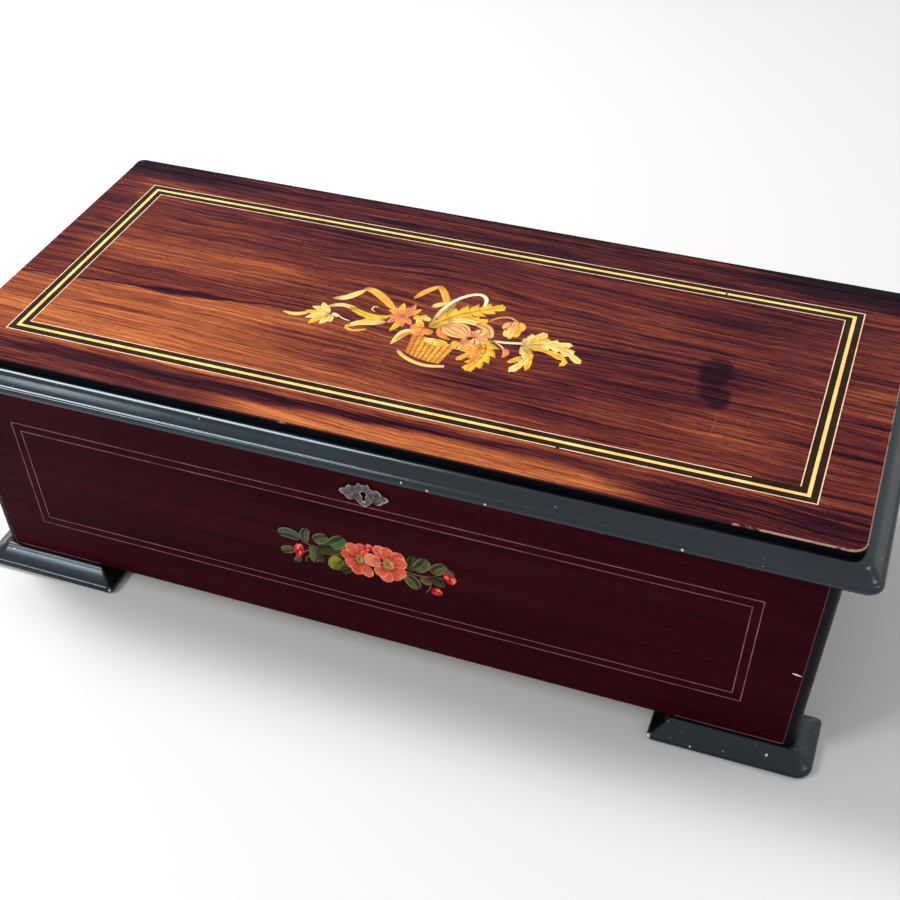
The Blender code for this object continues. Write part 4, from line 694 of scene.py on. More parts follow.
@dataclass(frozen=True)
class PaintedPetal(Finish):
    """One painted petal: deep at its root, streaked along its length and pale round its rim."""

    heart: Colour = shade(0x8C1E16)
    middle: Colour = shade(0xD65C42)
    rim: Colour = shade(0xEC9876)
    reach: float = 1.0

    def paint(self, bench: Bench) -> None:
        """Adds the finish's nodes."""
        along, across = bench.unrolled()
        cloud = bench.noise(420.0, 3.0, 0.6)
        ray = bench.node("ShaderNodeCombineXYZ", values={"X": across * 9.0, "Y": along * 1.6}).first
        shift = bench.noise(60.0, 1.0) * 40.0
        values = {"Vector": ray, "W": shift, "Scale": 1.0}
        rays = bench.node("ShaderNodeTexNoise", {"noise_dimensions": "4D"}, values).first
        edge = (across - 0.5).size().above(0.3, 0.47) * 0.35
        tone = along * self.reach * 0.62 + edge + (cloud - 0.5) * 0.7 + (rays - 0.5) * 0.9
        stops = ((0.06, self.heart), (0.34, self.middle), (0.56, self.middle), (0.8, self.rim))
        colour = bench.ramp(tone, *stops)
        bench.surface(Base_Color=colour, Roughness=cloud * 0.1 + 0.34, Specular_IOR_Level=0.08)


@dataclass(frozen=True)
class PaintedLeaf(Finish):
    """The painted leaves and stems of the front's spray, dark inside a paler rim, lighter on one side."""

    dark: Colour = shade(0x1C2010)
    light: Colour = shade(0x585C2A)
    rim: Colour = shade(0x7E7A56)

    def paint(self, bench: Bench) -> None:
        """Adds the finish's nodes."""
        along, across = bench.unrolled()
        cloud = bench.noise(330.0, 3.0, 0.6)
        half = (across + (cloud - 0.5) * 0.3).above(0.3, 0.75)
        slant = bench.sum("FRACT", along * 5.0 - (across - 0.5).size() * 3.0, 0.0)
        lines = (slant - 0.5).size().above(0.14, 0.03) * 0.3
        rib = (across - 0.5).size().above(0.08, 0.02) * 0.45
        colour = bench.ramp(half * 0.7 + (cloud - 0.5) * 1.2 + 0.12, (0.0, self.dark), (1.0, self.light))
        edge = ((across - 0.5).size() + (cloud - 0.5) * 0.12).above(0.36, 0.46) * 0.75
        pale = bench.sum("MAXIMUM", bench.sum("MAXIMUM", lines, rib), edge)
        colour = bench.mix(pale, colour, self.rim)
        bench.surface(Base_Color=colour, Roughness=cloud * 0.1 + 0.36, Specular_IOR_Level=0.06)


@dataclass(frozen=True)
class EngravedPewter(Finish):
    """Old dull plate with scrolls cut into it and dirt left in the cuts."""

    bright: Colour = shade(0x70696C)
    dull: Colour = shade(0x464145)
    dirt: Colour = shade(0x1C161B)

    def paint(self, bench: Bench) -> None:
        """Adds the finish's nodes."""
        values = {"Vector": bench.point, "Scale": 150.0, "Detail": 2.0, "Roughness": 0.6, "Distortion": 1.5}
        warp = bench.node("ShaderNodeTexNoise", values=values).first
        values = {"Vector": bench.point, "Scale": 190.0, "Distortion": 9.0, "Detail": 2.0}
        curls = bench.node("ShaderNodeTexWave", {"wave_type": "RINGS"}, values).out("Fac")
        cuts = (curls - 0.5).size().above(0.16, 0.04)
        cloud = bench.noise(420.0, 3.0)
        colour = bench.mix(warp.above(0.35, 0.65), self.bright, self.dull)
        colour = bench.mix(cuts * 0.55 + cloud.above(0.55, 0.75) * 0.3, colour, self.dirt)
        gloss = cloud * 0.25 + cuts * 0.2 + 0.3
        ridges = bench.bump(cloud * 0.4 - cuts, 0.00012)
        bench.surface(Base_Color=colour, Roughness=gloss, Normal=ridges, Metallic=0.9)


class Finishes(Enum):
    """The finishes of the box and its movement."""

    @property
    def slot(self) -> str:
        """The slot that a piece of this finish takes."""
        return self.value.slot

    def material(self) -> Material:
        """The finish's material, made once."""
        return self.value.material()

    LID = RosewoodVeneer("rosewood veneer", "rosewood")
    CASE = StainedMahogany("oxblood case front", "mahogany")
    CASE_END = StainedMahogany("oxblood case end", "mahogany", across=True)
    EBONISED = EbonisedWood(
        "ebonised moulding",
        "ebonised",
        knocks_and_highlights=(
            ((27.0, -118.4, 141.5), 0.7),
            ((41.0, -118.7, 140.4), 0.8),
            ((72.0, -118.7, 140.3), 0.9),
            ((57.0, -113.0, 144.5), 0.6),
            ((132.0, -117.6, 138.2), 0.8),
            ((147.0, -117.2, 137.9), 0.6),
            ((172.0, -118.7, 140.6), 0.9),
            ((204.0, -117.9, 138.5), 0.6),
            ((231.0, -113.0, 144.5), 0.6),
            # This spot on the right front corner is a painted highlight in the chip colour, not a chip.
            ((262.5, -115.5, 138.6), 1.2),
        ),
    )
    FOOT = EbonisedWood(
        "ebonised foot",
        "ebonised",
        worn=shade(0x161721),
        gloss=0.14,
        level=0.42,
        knocks_and_highlights=(((171.7, -124.4, 3.2), 1.5), ((236.0, -119.7, 7.6), 0.9), ((-171.7, -124.4, 3.2), 1.1)),
    )
    EDGE_BLACK = EbonisedWood(
        "black edge", "ebonised", worn=shade(0x0A0A0D), chips=0.0, gloss=0.4, level=0.05
    )
    CORNER_BLACK = EbonisedWood(
        "black corner", "ebonised", shade(0x0E060E), shade(0x1A0E1E), chips=0.4, gloss=0.3, level=0.08
    )
    WORN = WornEdge("worn arris", "rosewood")
    WORN_JOINT = WornEdge("worn joint", "mahogany", shade(0x703E44), shade(0x38121C), 0.5)
    LID_INSIDE = PlainWood(
        "lid inside", "rosewood", light=shade(0x78422C), dark=shade(0x4E261C), rough=0.4
    )
    INSIDE = PlainWood("inner boards", "inner_wood")
    INSIDE_END = PlainWood("inner cross boards", "inner_wood", grain=(260.0, 6.0, 260.0))
    BOTTOM = PlainWood("bottom board", "inner_wood", light=shade(0x966842), dark=shade(0x5C3A22))
    HANDLE = PlainWood(
        "turned handle", "ebonised", light=shade(0x342822), dark=shade(0x14100F), rough=0.25
    )
    BRASS = Metal("brass", "brass")
    TURNED_BRASS = Metal("turned brass", "brass", brushed=(1800.0, 30.0, 30.0), rough=0.2)
    STEEL = Metal("steel", "steel", shade(0xC4C6CA), shade(0x8C8C8E), rough=0.2)
    BLUED = Metal("blued steel", "steel", shade(0x3A4880), shade(0x242A4E), rough=0.22)
    PLATE = EngravedPewter("engraved plate", "nickel")
    RIM = Metal("plate rim", "nickel", shade(0xA09294), shade(0x70666A), (300.0, 300.0, 300.0), 0.32)
    IRON = CastIron("cast bed", "iron")
    GLASS = ClearGlass("cover glass", "glass")
    LINE_THIN = Stringing("thin boxwood line", "rosewood", shade(0xFADABA), shade(0xDEAC88))
    LINE_THICK = Stringing("broad boxwood line", "rosewood", shade(0xFCDC90), shade(0xE6B25E))
    LINE_DARK = Stringing("dark crossbanding", "rosewood", shade(0x30200C), shade(0x1A0C08))
    SCRATCH = Stringing("scratch", "rosewood", shade(0x966458), shade(0x6E3E36))
    CHIP = Stringing("case chip", "mahogany", shade(0xEEE0D4), shade(0xD0BCAE))
    HAIRLINE = Stringing("case hairline", "mahogany", shade(0x9C6462), shade(0x643438))
    WOOD_WHITE = InlaidWood("inlaid holly", "rosewood", shade(0xFCE8C6), shade(0xECCE9C), vein=0.0)
    WOOD_CREAM = InlaidWood("inlaid maple", "rosewood", shade(0xFADC8C), shade(0xE6BA60))
    WOOD_YELLOW = InlaidWood("inlaid box", "rosewood", shade(0xF2C442), shade(0xD89C2A))
    WOOD_GOLD = InlaidWood("inlaid barberry", "rosewood", shade(0xF0B44C), shade(0xDE9234), vein=0.25)
    WOOD_ORANGE = InlaidWood("inlaid satinwood", "rosewood", shade(0xE8964C), shade(0xCE7034))
    WOOD_OLIVE = InlaidWood(
        "inlaid olive", "rosewood", shade(0xB69C4A), shade(0x8C6C30), shade(0x422A12)
    )
    WOOD_PINK = InlaidWood(
        "inlaid pear", "rosewood", shade(0xEA9A6C), shade(0xCC6C4A), shade(0x703022), 0.6
    )
    WOOD_PEACH = InlaidWood("inlaid peach", "rosewood", shade(0xF4BE78), shade(0xE69E58), lines=2.0)
    WOVEN = WovenWood("inlaid basket", "rosewood")
    CORAL = PaintedPetal("coral petal", "mahogany")
    CORAL_DEEP = PaintedPetal(
        "deep coral petal", "mahogany", middle=shade(0xCE4C34), rim=shade(0xE88E6C)
    )
    CORAL_PALE = PaintedPetal("pale coral petal", "mahogany", shade(0xBE503E), shade(0xE68468))
    SCARLET = PaintedPetal(
        "scarlet bud", "mahogany", shade(0x780614), shade(0xCC1226), shade(0xF67874), 0.8
    )
    HEART = PaintedPetal("flower heart", "mahogany", shade(0x543C1E), shade(0x927E3E), shade(0xB2A060))
    LEAF = PaintedLeaf("olive leaf", "mahogany")
    LEAF_DARK = PaintedLeaf("dark leaf", "mahogany", shade(0x14160A), shade(0x3C3A1A), shade(0x585234))
    LEAF_GREEN = PaintedLeaf("green leaf", "mahogany", shade(0x1A2C18), shade(0x466836), shade(0x747C58))
    LEAF_GREY = PaintedLeaf("grey leaf", "mahogany", shade(0x1C241E), shade(0x465442), shade(0x808270))
    LEAF_PALE = PaintedLeaf("lit leaf", "mahogany", shade(0x3C4A0C), shade(0x8E9622), shade(0x96803E))
    STEM = PaintedLeaf("stem", "mahogany", shade(0x3E2C1A), shade(0x6E5638), shade(0x8A7052))


class Workshop:
    """The loaded frame, and what dresses its nodes or adds pieces to its bodies."""

    WELD = 0.002 * MM
    LEVEL = math.radians(0.6)

    def __init__(self) -> None:
        """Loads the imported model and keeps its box."""
        self.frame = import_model()
        self.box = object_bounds()
        self.bodies = self.frame["record"]["behaviour"]["bodies"]

    def body_of(self, node: str) -> str:
        """The body that a node rides on."""
        return next(body for body, members in self.bodies.items() if node in members)

    def place(self, piece: Object, body: str, finish: Finishes, *nodes: str) -> Object:
        """Sets a finished piece on its body.

        Args:
            piece: the object, at the origin, with its place in its mesh.
            body: the body that it rides on.
            finish: the piece's finish, which is not used here.
            nodes: the nodes that it stands for.

        Returns:
            The piece.
        """
        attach(piece, body)
        finish.slot
        if nodes:
            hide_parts(*nodes)
        log.info("%s on %s: %d faces", piece.name, body, len(piece.data.polygons))
        return piece

    def object_of(self, name: str, bm: BMesh, finishes: Sequence[Finishes], sharp: float = 38) -> Object:
        """Turns mesh data into an object, smooth up to an angle.

        Args:
            name: the object's name.
            bm: the mesh, which is freed.
            finishes: the finishes of its material slots, in order.
            sharp: the angle in degrees from which an edge stays sharp.

        Returns:
            The object, with the normals of its large faces kept flat.
        """
        mesh = bpy.data.meshes.new(name)
        bm.to_mesh(mesh)
        bm.free()
        for finish in finishes:
            mesh.materials.append(finish.material())
        mesh.shade_smooth()
        mesh.set_sharp_from_angle(angle=math.radians(sharp))
        piece = added(name, mesh)
        return self.settled(piece, piece.modifiers.new("flat faces", "WEIGHTED_NORMAL"))

    def settled(self, piece: Object, modifier: Modifier) -> Object:
        """Turns a piece with its modifier into a plain mesh.

        Args:
            piece: the object.
            modifier: the modifier that is removed once its result is in the mesh.

        Returns:
            The piece.
        """
        if modifier.type == "WEIGHTED_NORMAL":
            modifier.keep_sharp = True
            modifier.weight = 100
        bpy.context.view_layer.update()
        graph = bpy.context.evaluated_depsgraph_get()
        plain = bpy.data.meshes.new_from_object(piece.evaluated_get(graph), depsgraph=graph)
        piece.modifiers.remove(modifier)
        old = piece.data
        piece.data = plain
        bpy.data.meshes.remove(old)
        plain.name = piece.name
        return piece

    def dress(
        self,
        node: str,
        finish: Finishes,
        ease: float = 0.25 * MM,
        sharp: float = 38,
        others: Sequence[tuple[Finishes, Callable[[Vector, Vector], bool]]] = (),
    ) -> Object:
        """Stands a smooth copy with eased edges in a node's place.

        Args:
            node: the node.
            finish: its finish.
            ease: the width of the eased edges, or 0 for none.
            sharp: the angle in degrees from which an edge is eased or stays sharp.
            others: further finishes, each with a test of a face's middle and outward direction.

        Returns:
            The copy.
        """
        bm = bmesh.new()
        bm.from_mesh(self.frame["nodes"][node].data)
        bmesh.ops.remove_doubles(bm, verts=bm.verts, dist=self.WELD)
        bmesh.ops.dissolve_limit(bm, angle_limit=self.LEVEL, verts=bm.verts, edges=bm.edges)
        bmesh.ops.connect_verts_concave(bm, faces=bm.faces)
        for face in bm.faces:
            face.material_index = 0
        if ease:
            limit = math.radians(sharp)
            edges = [e for e in bm.edges if e.is_manifold and e.calc_face_angle_signed(0.0) > limit]
            bmesh.ops.bevel(
                bm, geom=edges, offset=ease, segments=2, profile=0.6, affect="EDGES", clamp_overlap=True
            )
        bm.normal_update()
        for face in bm.faces:
            for i, (_, test) in enumerate(others):
                if test(face.calc_center_median(), face.normal):
                    face.material_index = i + 1
        piece = self.object_of(node + "_finished", bm, [finish, *(other for other, _ in others)], sharp)
        return self.place(piece, self.body_of(node), finish, node)


@dataclass(frozen=True)
class Lamp:
    """A soft light: where it hangs, the point that it faces, its two sides and its watts.

    The first side is level.
    """

    name: str
    place: Place
    aim: Place
    size: Flat
    power: float


class Studio:
    """The pale floor, the soft lights and the camera."""

    FLOOR = shade(0xE8E6E4)
    FLOOR_REACH = 6.0
    GLOW = (0.94, 0.96, 1.0)
    GLOW_STRENGTH = 0.55
    BACKDROP = (0.93, 0.925, 0.92)
    LAMPS = (
        Lamp("key", (-1.3, -1.4, 1.4), (0.0, 0.0, 0.08), (0.6, 0.6), 17.0),
        Lamp("fill", (1.35, 0.42, 1.7), (0.2, 0.0, 0.1), (0.4, 0.4), 3.0),
        Lamp("top", (-1.08, 0.36, 1.75), (-0.1, 0.0, 0.1), (0.5, 1.1), 30.0),
    )
    EYE = (0.221105, -0.56478, 0.5559)
    RIGHT = (0.9408038, 0.33886112, -0.00783228)
    UP = (-0.24660593, 0.70015648, 0.67004957)
    BACK = (0.23253757, -0.6284537, 0.74227504)
    LENS = 50.045
    SHIFT = (-0.00744, 0.21798)

    def build(self) -> None:
        """Makes the floor, the world, the lights and the camera."""
        self.floor()
        self.world()
        for lamp in self.LAMPS:
            self.light(lamp)
        self.camera()

    def floor(self) -> None:
        """A wide pale floor that shows at full brightness and keeps the box's shadow."""
        bm = bmesh.new()
        bmesh.ops.create_grid(bm, x_segments=1, y_segments=1, size=self.FLOOR_REACH)
        mesh = bpy.data.meshes.new("floor")
        bm.to_mesh(mesh)
        bm.free()
        floor = added("floor", mesh)
        bench = Bench("pale floor")
        bench.surface(Base_Color=self.FLOOR, Roughness=0.9, Specular_IOR_Level=0.1)
        mesh.materials.append(bench.material)
        floor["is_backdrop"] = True

    def world(self) -> None:
        """A soft even world, shown white to the camera, to reflections and through glass."""
        world = bpy.data.worlds.new("studio")
        bpy.context.scene.world = world
        world.use_nodes = True
        sky = Nodes(world.node_tree)
        glow = world.node_tree.nodes["Background"]
        sky.feed(glow.inputs["Color"], self.GLOW)
        sky.feed(glow.inputs["Strength"], self.GLOW_STRENGTH)
        shown = sky.node("ShaderNodeBackground", values={"Color": self.BACKDROP}).first
        path = sky.node("ShaderNodeLightPath")
        seen = sky.sum("MAXIMUM", path.out("Is Camera Ray"), path.out("Is Transmission Ray"))
        seen = sky.sum("MAXIMUM", seen, path.out("Is Glossy Ray"))
        both = sky.node("ShaderNodeMixShader", values={0: seen, 1: Made(sky, glow).first, 2: shown}).first
        sky.feed(world.node_tree.nodes["World Output"].inputs["Surface"], both)

    @staticmethod
    def light(lamp: Lamp) -> None:
        """Hangs a soft light."""
        source = bpy.data.lights.new(lamp.name, "AREA")
        source.shape = "RECTANGLE"
        source.size, source.size_y = lamp.size
        source.energy = lamp.power
        hung = added(lamp.name, source)
        hung.location = lamp.place
        turn = (Vector(lamp.place) - Vector(lamp.aim)).to_track_quat("Z", "Y")
        hung.rotation_euler = turn.to_euler()

    def camera(self) -> None:
        """The camera of the main view."""
        lens = bpy.data.cameras.new("camera")
        lens.lens = self.LENS
        lens.sensor_width = 36.0
        lens.shift_x, lens.shift_y = self.SHIFT
        eye = added("camera", lens)
        turn = Matrix((self.RIGHT, self.UP, self.BACK)).transposed()
        eye.matrix_world = Matrix.Translation(self.EYE) @ turn.to_4x4()
        bpy.context.scene.camera = eye


def flowing(points: Sequence[Flat], count: int) -> list[Vector]:
    """A smooth line through some points.

    Args:
        points: what the line passes through, in order.
        count: how many points it is given.

    Returns:
        Its points.
    """
    known = [Vector(point) for point in points]
    known = [known[0] * 2 - known[1], *known, known[-1] * 2 - known[-2]]
    made = []
    for i in range(count):
        place = (len(points) - 1) * i / (count - 1)
        start = min(int(place), len(points) - 2)
        t = place - start
        a, b, c, d = known[start : start + 4]
        curve = b * 2 + (c - a) * t + (a * 2 - b * 5 + c * 4 - d) * t**2 + (b * 3 - a - c * 3 + d) * t**3
        made.append(curve * 0.5)
    return made


class Outline(Enum):
    """How a laid piece's breadth runs from its root to its tip."""

    LEAF = (0.8, 0.75)
    PETAL = (1.7, 0.5)
    STRAP = (1.0, 0.28)
    FROND = (0.75, 0.42)
    BAND = (1.0, 0.05)

    def breadth(self, share: float) -> float:
        """The share of the full breadth at a share of the length."""
        lean, fullness = self.value
        return max(math.sin(math.pi * min(share, 0.999) ** lean), 0.0) ** fullness


@dataclass(frozen=True)
class ToothPoint:
    """A point that draws a leaf's tooth: how far along it, how wide, and how far it leans to the tip."""

    place: float
    breadth: float
    lean: float


TOOTH = (
    ToothPoint(0.0, 0.5, 0.0),
    ToothPoint(0.3, 0.74, 0.1),
    ToothPoint(0.62, 1.0, 0.5),
    ToothPoint(0.82, 0.66, 0.3),
)


class Inlay:
    """Thin cut shapes let into one flat face. Each carries its own length and breadth in its shape map."""

    LOWEST = 0.02
    LAYER = 0.002
    NARROWEST = 0.06
    NOTCH = 0.18

    def __init__(self, corner: Vector, across: Vector, up: Vector, depth: float = 0.3 * MM) -> None:
        """Starts on a face.

        Args:
            corner: the point of the face that its flat places are counted from.
            across: the direction of a place's first number.
            up: the direction of its second number.
            depth: how deep the shapes go into the face.
        """
        self.corner = corner
        self.across = across
        self.up = up
        self.out = across.cross(up)
        self.depth = depth
        self.bm = bmesh.new()
        self.map = self.bm.loops.layers.uv.new(SHAPE_MAP)
        self.finishes: list[Finishes] = []
        self.laid = 0

    def slot(self, finish: Finishes) -> int:
        """The material slot of a finish, added when it is new."""
        if finish not in self.finishes:
            self.finishes.append(finish)
        return self.finishes.index(finish)

    def face(self, corners: Sequence[tuple[BMVert, Flat]], slot: int) -> None:
        """Adds one face, each corner with its place in the shape map."""
        made = self.bm.faces.new([vert for vert, _ in corners])
        made.material_index = slot
        for loop, (_, place) in zip(made.loops, corners):
            loop[self.map].uv = place

    def slab(self, rows: Sequence[Sequence[Vector]], finish: Finishes, looped: bool = False) -> None:
        """Adds a closed thin slab over those that are laid already.

        Args:
            rows: its flat points in mm, row after row from root to tip, each row from left to right.
            finish: its finish.
            looped: whether the rows run round a middle anticlockwise, each one outwards.
        """
        slot = self.slot(finish)
        self.laid += 1
        high = self.out * ((self.LOWEST + self.LAYER * self.laid) * MM)
        low = self.out * -self.depth
        grids = []
        for rise in (high, low):
            grids.append([[self.bm.verts.new(self.spot(point, rise)) for point in row] for row in rows])
        top, under = grids
        last = len(rows) - 1
        wide = len(rows[0]) - 1
        rounds = last + 1 if looped else last
        for i in range(rounds):
            k = (i + 1) % (last + 1)
            u, v = i / rounds, (i + 1) / rounds
            for j in range(wide):
                a, b = j / wide, (j + 1) / wide
                spots = ((i, j, (u, a)), (i, j + 1, (u, b)), (k, j + 1, (v, b)), (k, j, (v, a)))
                if looped:
                    spots = tuple((m, n, (place[1], place[0])) for m, n, place in spots)
                self.face([(top[m][n], place) for m, n, place in spots], slot)
                self.face([(under[m][n], place) for m, n, place in reversed(spots)], slot)
            if not looped:
                edge = ((top[k][0], v), (under[k][0], v), (under[i][0], u), (top[i][0], u))
                self.face([(vert, (share, 0)) for vert, share in edge], slot)
            edge = (top[i][wide], under[i][wide], under[k][wide], top[k][wide])
            self.face([(vert, (0.99, 0.5) if looped else (u, 1.0)) for vert in edge], slot)
        if looped:
            self.weld([row[0] for grid in grids for row in grid])
            return
        for row in (0, last):
            ends = [(j, j + 1) if row == 0 else (j + 1, j) for j in range(wide)]
            for j, k in ends:
                edge = (top[row][k], top[row][j], under[row][j], under[row][k])
                self.face([(vert, (row / last, 0.5)) for vert in edge], slot)

    def spot(self, point: Vector, rise: Vector) -> Vector:
        """A flat point's place on the face, raised or lowered."""
        return self.corner + self.across * point.x * MM + self.up * point.y * MM + rise

    def weld(self, verts: Sequence[BMVert]) -> None:
        """Joins those of a shape's corners that lie on one point."""
        bmesh.ops.remove_doubles(self.bm, verts=list(verts), dist=0.0005 * MM)

    def blade(
        self,
        spine: Sequence[Flat],
        breadth: float,
        finish: Finishes,
        outline: Outline = Outline.LEAF,
        teeth: int = 0,
    ) -> None:
        """Adds a leaf, petal, stem or ribbon along a bent line.

        Args:
            spine: the points that its middle passes through, in mm, from root to tip.
            breadth: its full breadth in mm.
            finish: its finish.
            outline: how its breadth runs.
            teeth: how many teeth each of its sides has.
        """
        if teeth:
            spots = [((n + point.place) / teeth, point) for n in range(teeth) for point in TOOTH]
            spots.append((1.0, ToothPoint(0.0, 0.05, 0.0)))
        else:
            steps = 12
            spots = [(i / steps, ToothPoint(0.0, 1.0, 0.0)) for i in range(steps + 1)]
        fine = 60
        line = flowing(spine, fine + 1)
        rows = []
        for share, point in spots:
            i = round(share * fine)
            ahead = (line[min(i + 1, fine)] - line[max(i - 1, 0)]).normalized()
            side = Vector((-ahead.y, ahead.x))
            half = max(breadth / 2 * outline.breadth(share) * point.breadth, self.NARROWEST)
            lean = ahead * half * point.lean
            rows.append([line[i] + side * half + lean, line[i] + lean * 0.3, line[i] - side * half + lean])
        self.slab(rows, finish)

    def bloom(
        self,
        middle: Flat,
        size: Flat,
        finish: Finishes,
        petals: int = 0,
        turn: float = 0.0,
        lean: float = 0.0,
    ) -> None:
        """Adds a round shape, plain or with a lobed rim.

        Args:
            middle: its middle, in mm.
            size: its half length and half breadth, in mm.
            finish: its finish.
            petals: how many lobes its rim has.
            turn: the angle of its first lobe, in degrees.
            lean: the angle of its length, in degrees.
        """
        count = max(20, 6 * petals)
        heading = Matrix.Rotation(math.radians(lean), 2)
        centre = Vector(middle)
        rows = []
        for i in range(count):
            angle = 2 * math.pi * i / count
            phase = (i / count * petals) % 1.0
            reach = 1.0 - self.NOTCH * (1.0 - math.sin(math.pi * phase) ** 0.6) if petals else 1.0
            spread = angle + math.radians(turn)
            turned = heading @ Vector((size[0] * math.cos(spread), size[1] * math.sin(spread))) * reach
            rows.append([centre, centre + turned * 0.5, centre + turned])
        self.slab(rows, finish, looped=True)

    def flower(
        self,
        middle: Flat,
        tips: Sequence[Flat],
        breadth: float,
        finishes: Sequence[Finishes],
        heart: float = 0.12,
        outline: Outline = Outline.PETAL,
    ) -> None:
        """Adds a ring of petals.

        Args:
            middle: where their roots meet, in mm.
            tips: the tips of the petals, in the order in which they are laid.
            breadth: the breadth of a petal, in mm.
            finishes: their finishes, taken in turn.
            heart: how far from the middle they start, as a share of their length.
            outline: how a petal's breadth runs.
        """
        centre = Vector(middle)
        for i, tip in enumerate(tips):
            away = Vector(tip) - centre
            bend = Vector((-away.y, away.x)) * (0.06 if i % 2 else -0.05)
            spine = (centre + away * heart, centre + away * 0.55 + bend, centre + away)
            self.blade(spine, breadth, finishes[i % len(finishes)], outline)

    def object(self, shop: Workshop, name: str, body: str) -> Object:
        """The shapes as one finished piece on a body."""
        piece = shop.object_of(name, self.bm, self.finishes)
        return shop.place(piece, body, self.finishes[0])


def frame_slabs(inlay: Inlay, half: Flat, middle: Flat, start: float, end: float, finish: Finishes) -> None:
    """Lays one rectangular line with mitred corners.

    Args:
        inlay: what it is laid in.
        half: half the length and half the height of the outermost line, in mm.
        middle: the middle of the rectangle, in mm.
        start: the inset of the line's outer edge, in mm.
        end: the inset of its inner edge, in mm.
        finish: its finish.
    """
    rings = []
    for inset in (start, end):
        u, v = half[0] - inset, half[1] - inset
        ways = ((-u, -v), (u, -v), (u, v), (-u, v))
        rings.append([Vector((middle[0] + a, middle[1] + b)) for a, b in ways])
    outer, inner = rings
    for i in range(4):
        k = (i + 1) % 4
        inlay.slab([[inner[i], outer[i]], [inner[k], outer[k]]], finish)


Station = tuple[Vector, Vector]


def corner_way(start: float) -> Vector:
    """The way out of a square corner, over both sides at once, for its first outward direction in degrees."""
    middle = math.radians(start + 45)
    return Vector((math.copysign(1.0, math.cos(middle)), math.copysign(1.0, math.sin(middle))))


def corner_round(centre: Flat, radius: float, start: float, steps: int, growth: float) -> list[Station]:
    """Stations round a quarter corner.

    Args:
        centre: the middle of the corner's round.
        radius: its radius.
        start: the angle in degrees of the first outward direction.
        steps: how many parts the quarter has.
        growth: how much the radius grows with a section's offset.

    Returns:
        Each point on the corner with the way in which a section's offset is set off from it.
    """
    square = corner_way(start)
    made = []
    for i in range(steps + 1):
        angle = math.radians(start + 90 * i / steps)
        turn = Vector((math.cos(angle), math.sin(angle)))
        made.append((Vector(centre) + turn * radius, turn * growth + square * (1 - growth)))
    return made


def run_moulding(stations: Sequence[Station], section: Sequence[Flat], closed: bool) -> BMesh:
    """Runs a section round a path.

    Args:
        stations: the path's points with their outward ways.
        section: the moulding's (offset, height) points, from its top to its underside.
        closed: whether the path ends where it starts. The top and underside are then filled.

    Returns:
        The closed mesh.
    """
    bm = bmesh.new()
    rings = []
    for base, out in stations:
        spots = [(base.x + out.x * offset, base.y + out.y * offset, height) for offset, height in section]
        rings.append([bm.verts.new(spot) for spot in spots])
    for i in range(len(rings) if closed else len(rings) - 1):
        here, after = rings[i], rings[(i + 1) % len(rings)]
        for j in range(len(section) - 1 if closed else len(section)):
            k = (j + 1) % len(section)
            bm.faces.new((here[j], here[k], after[k], after[j]))
    caps = [[ring[0] for ring in rings], [ring[-1] for ring in rings]] if closed else [rings[0], rings[-1]]
    for cap in caps:
        bm.faces.new(cap)
    bmesh.ops.recalc_face_normals(bm, faces=bm.faces)
    return bm


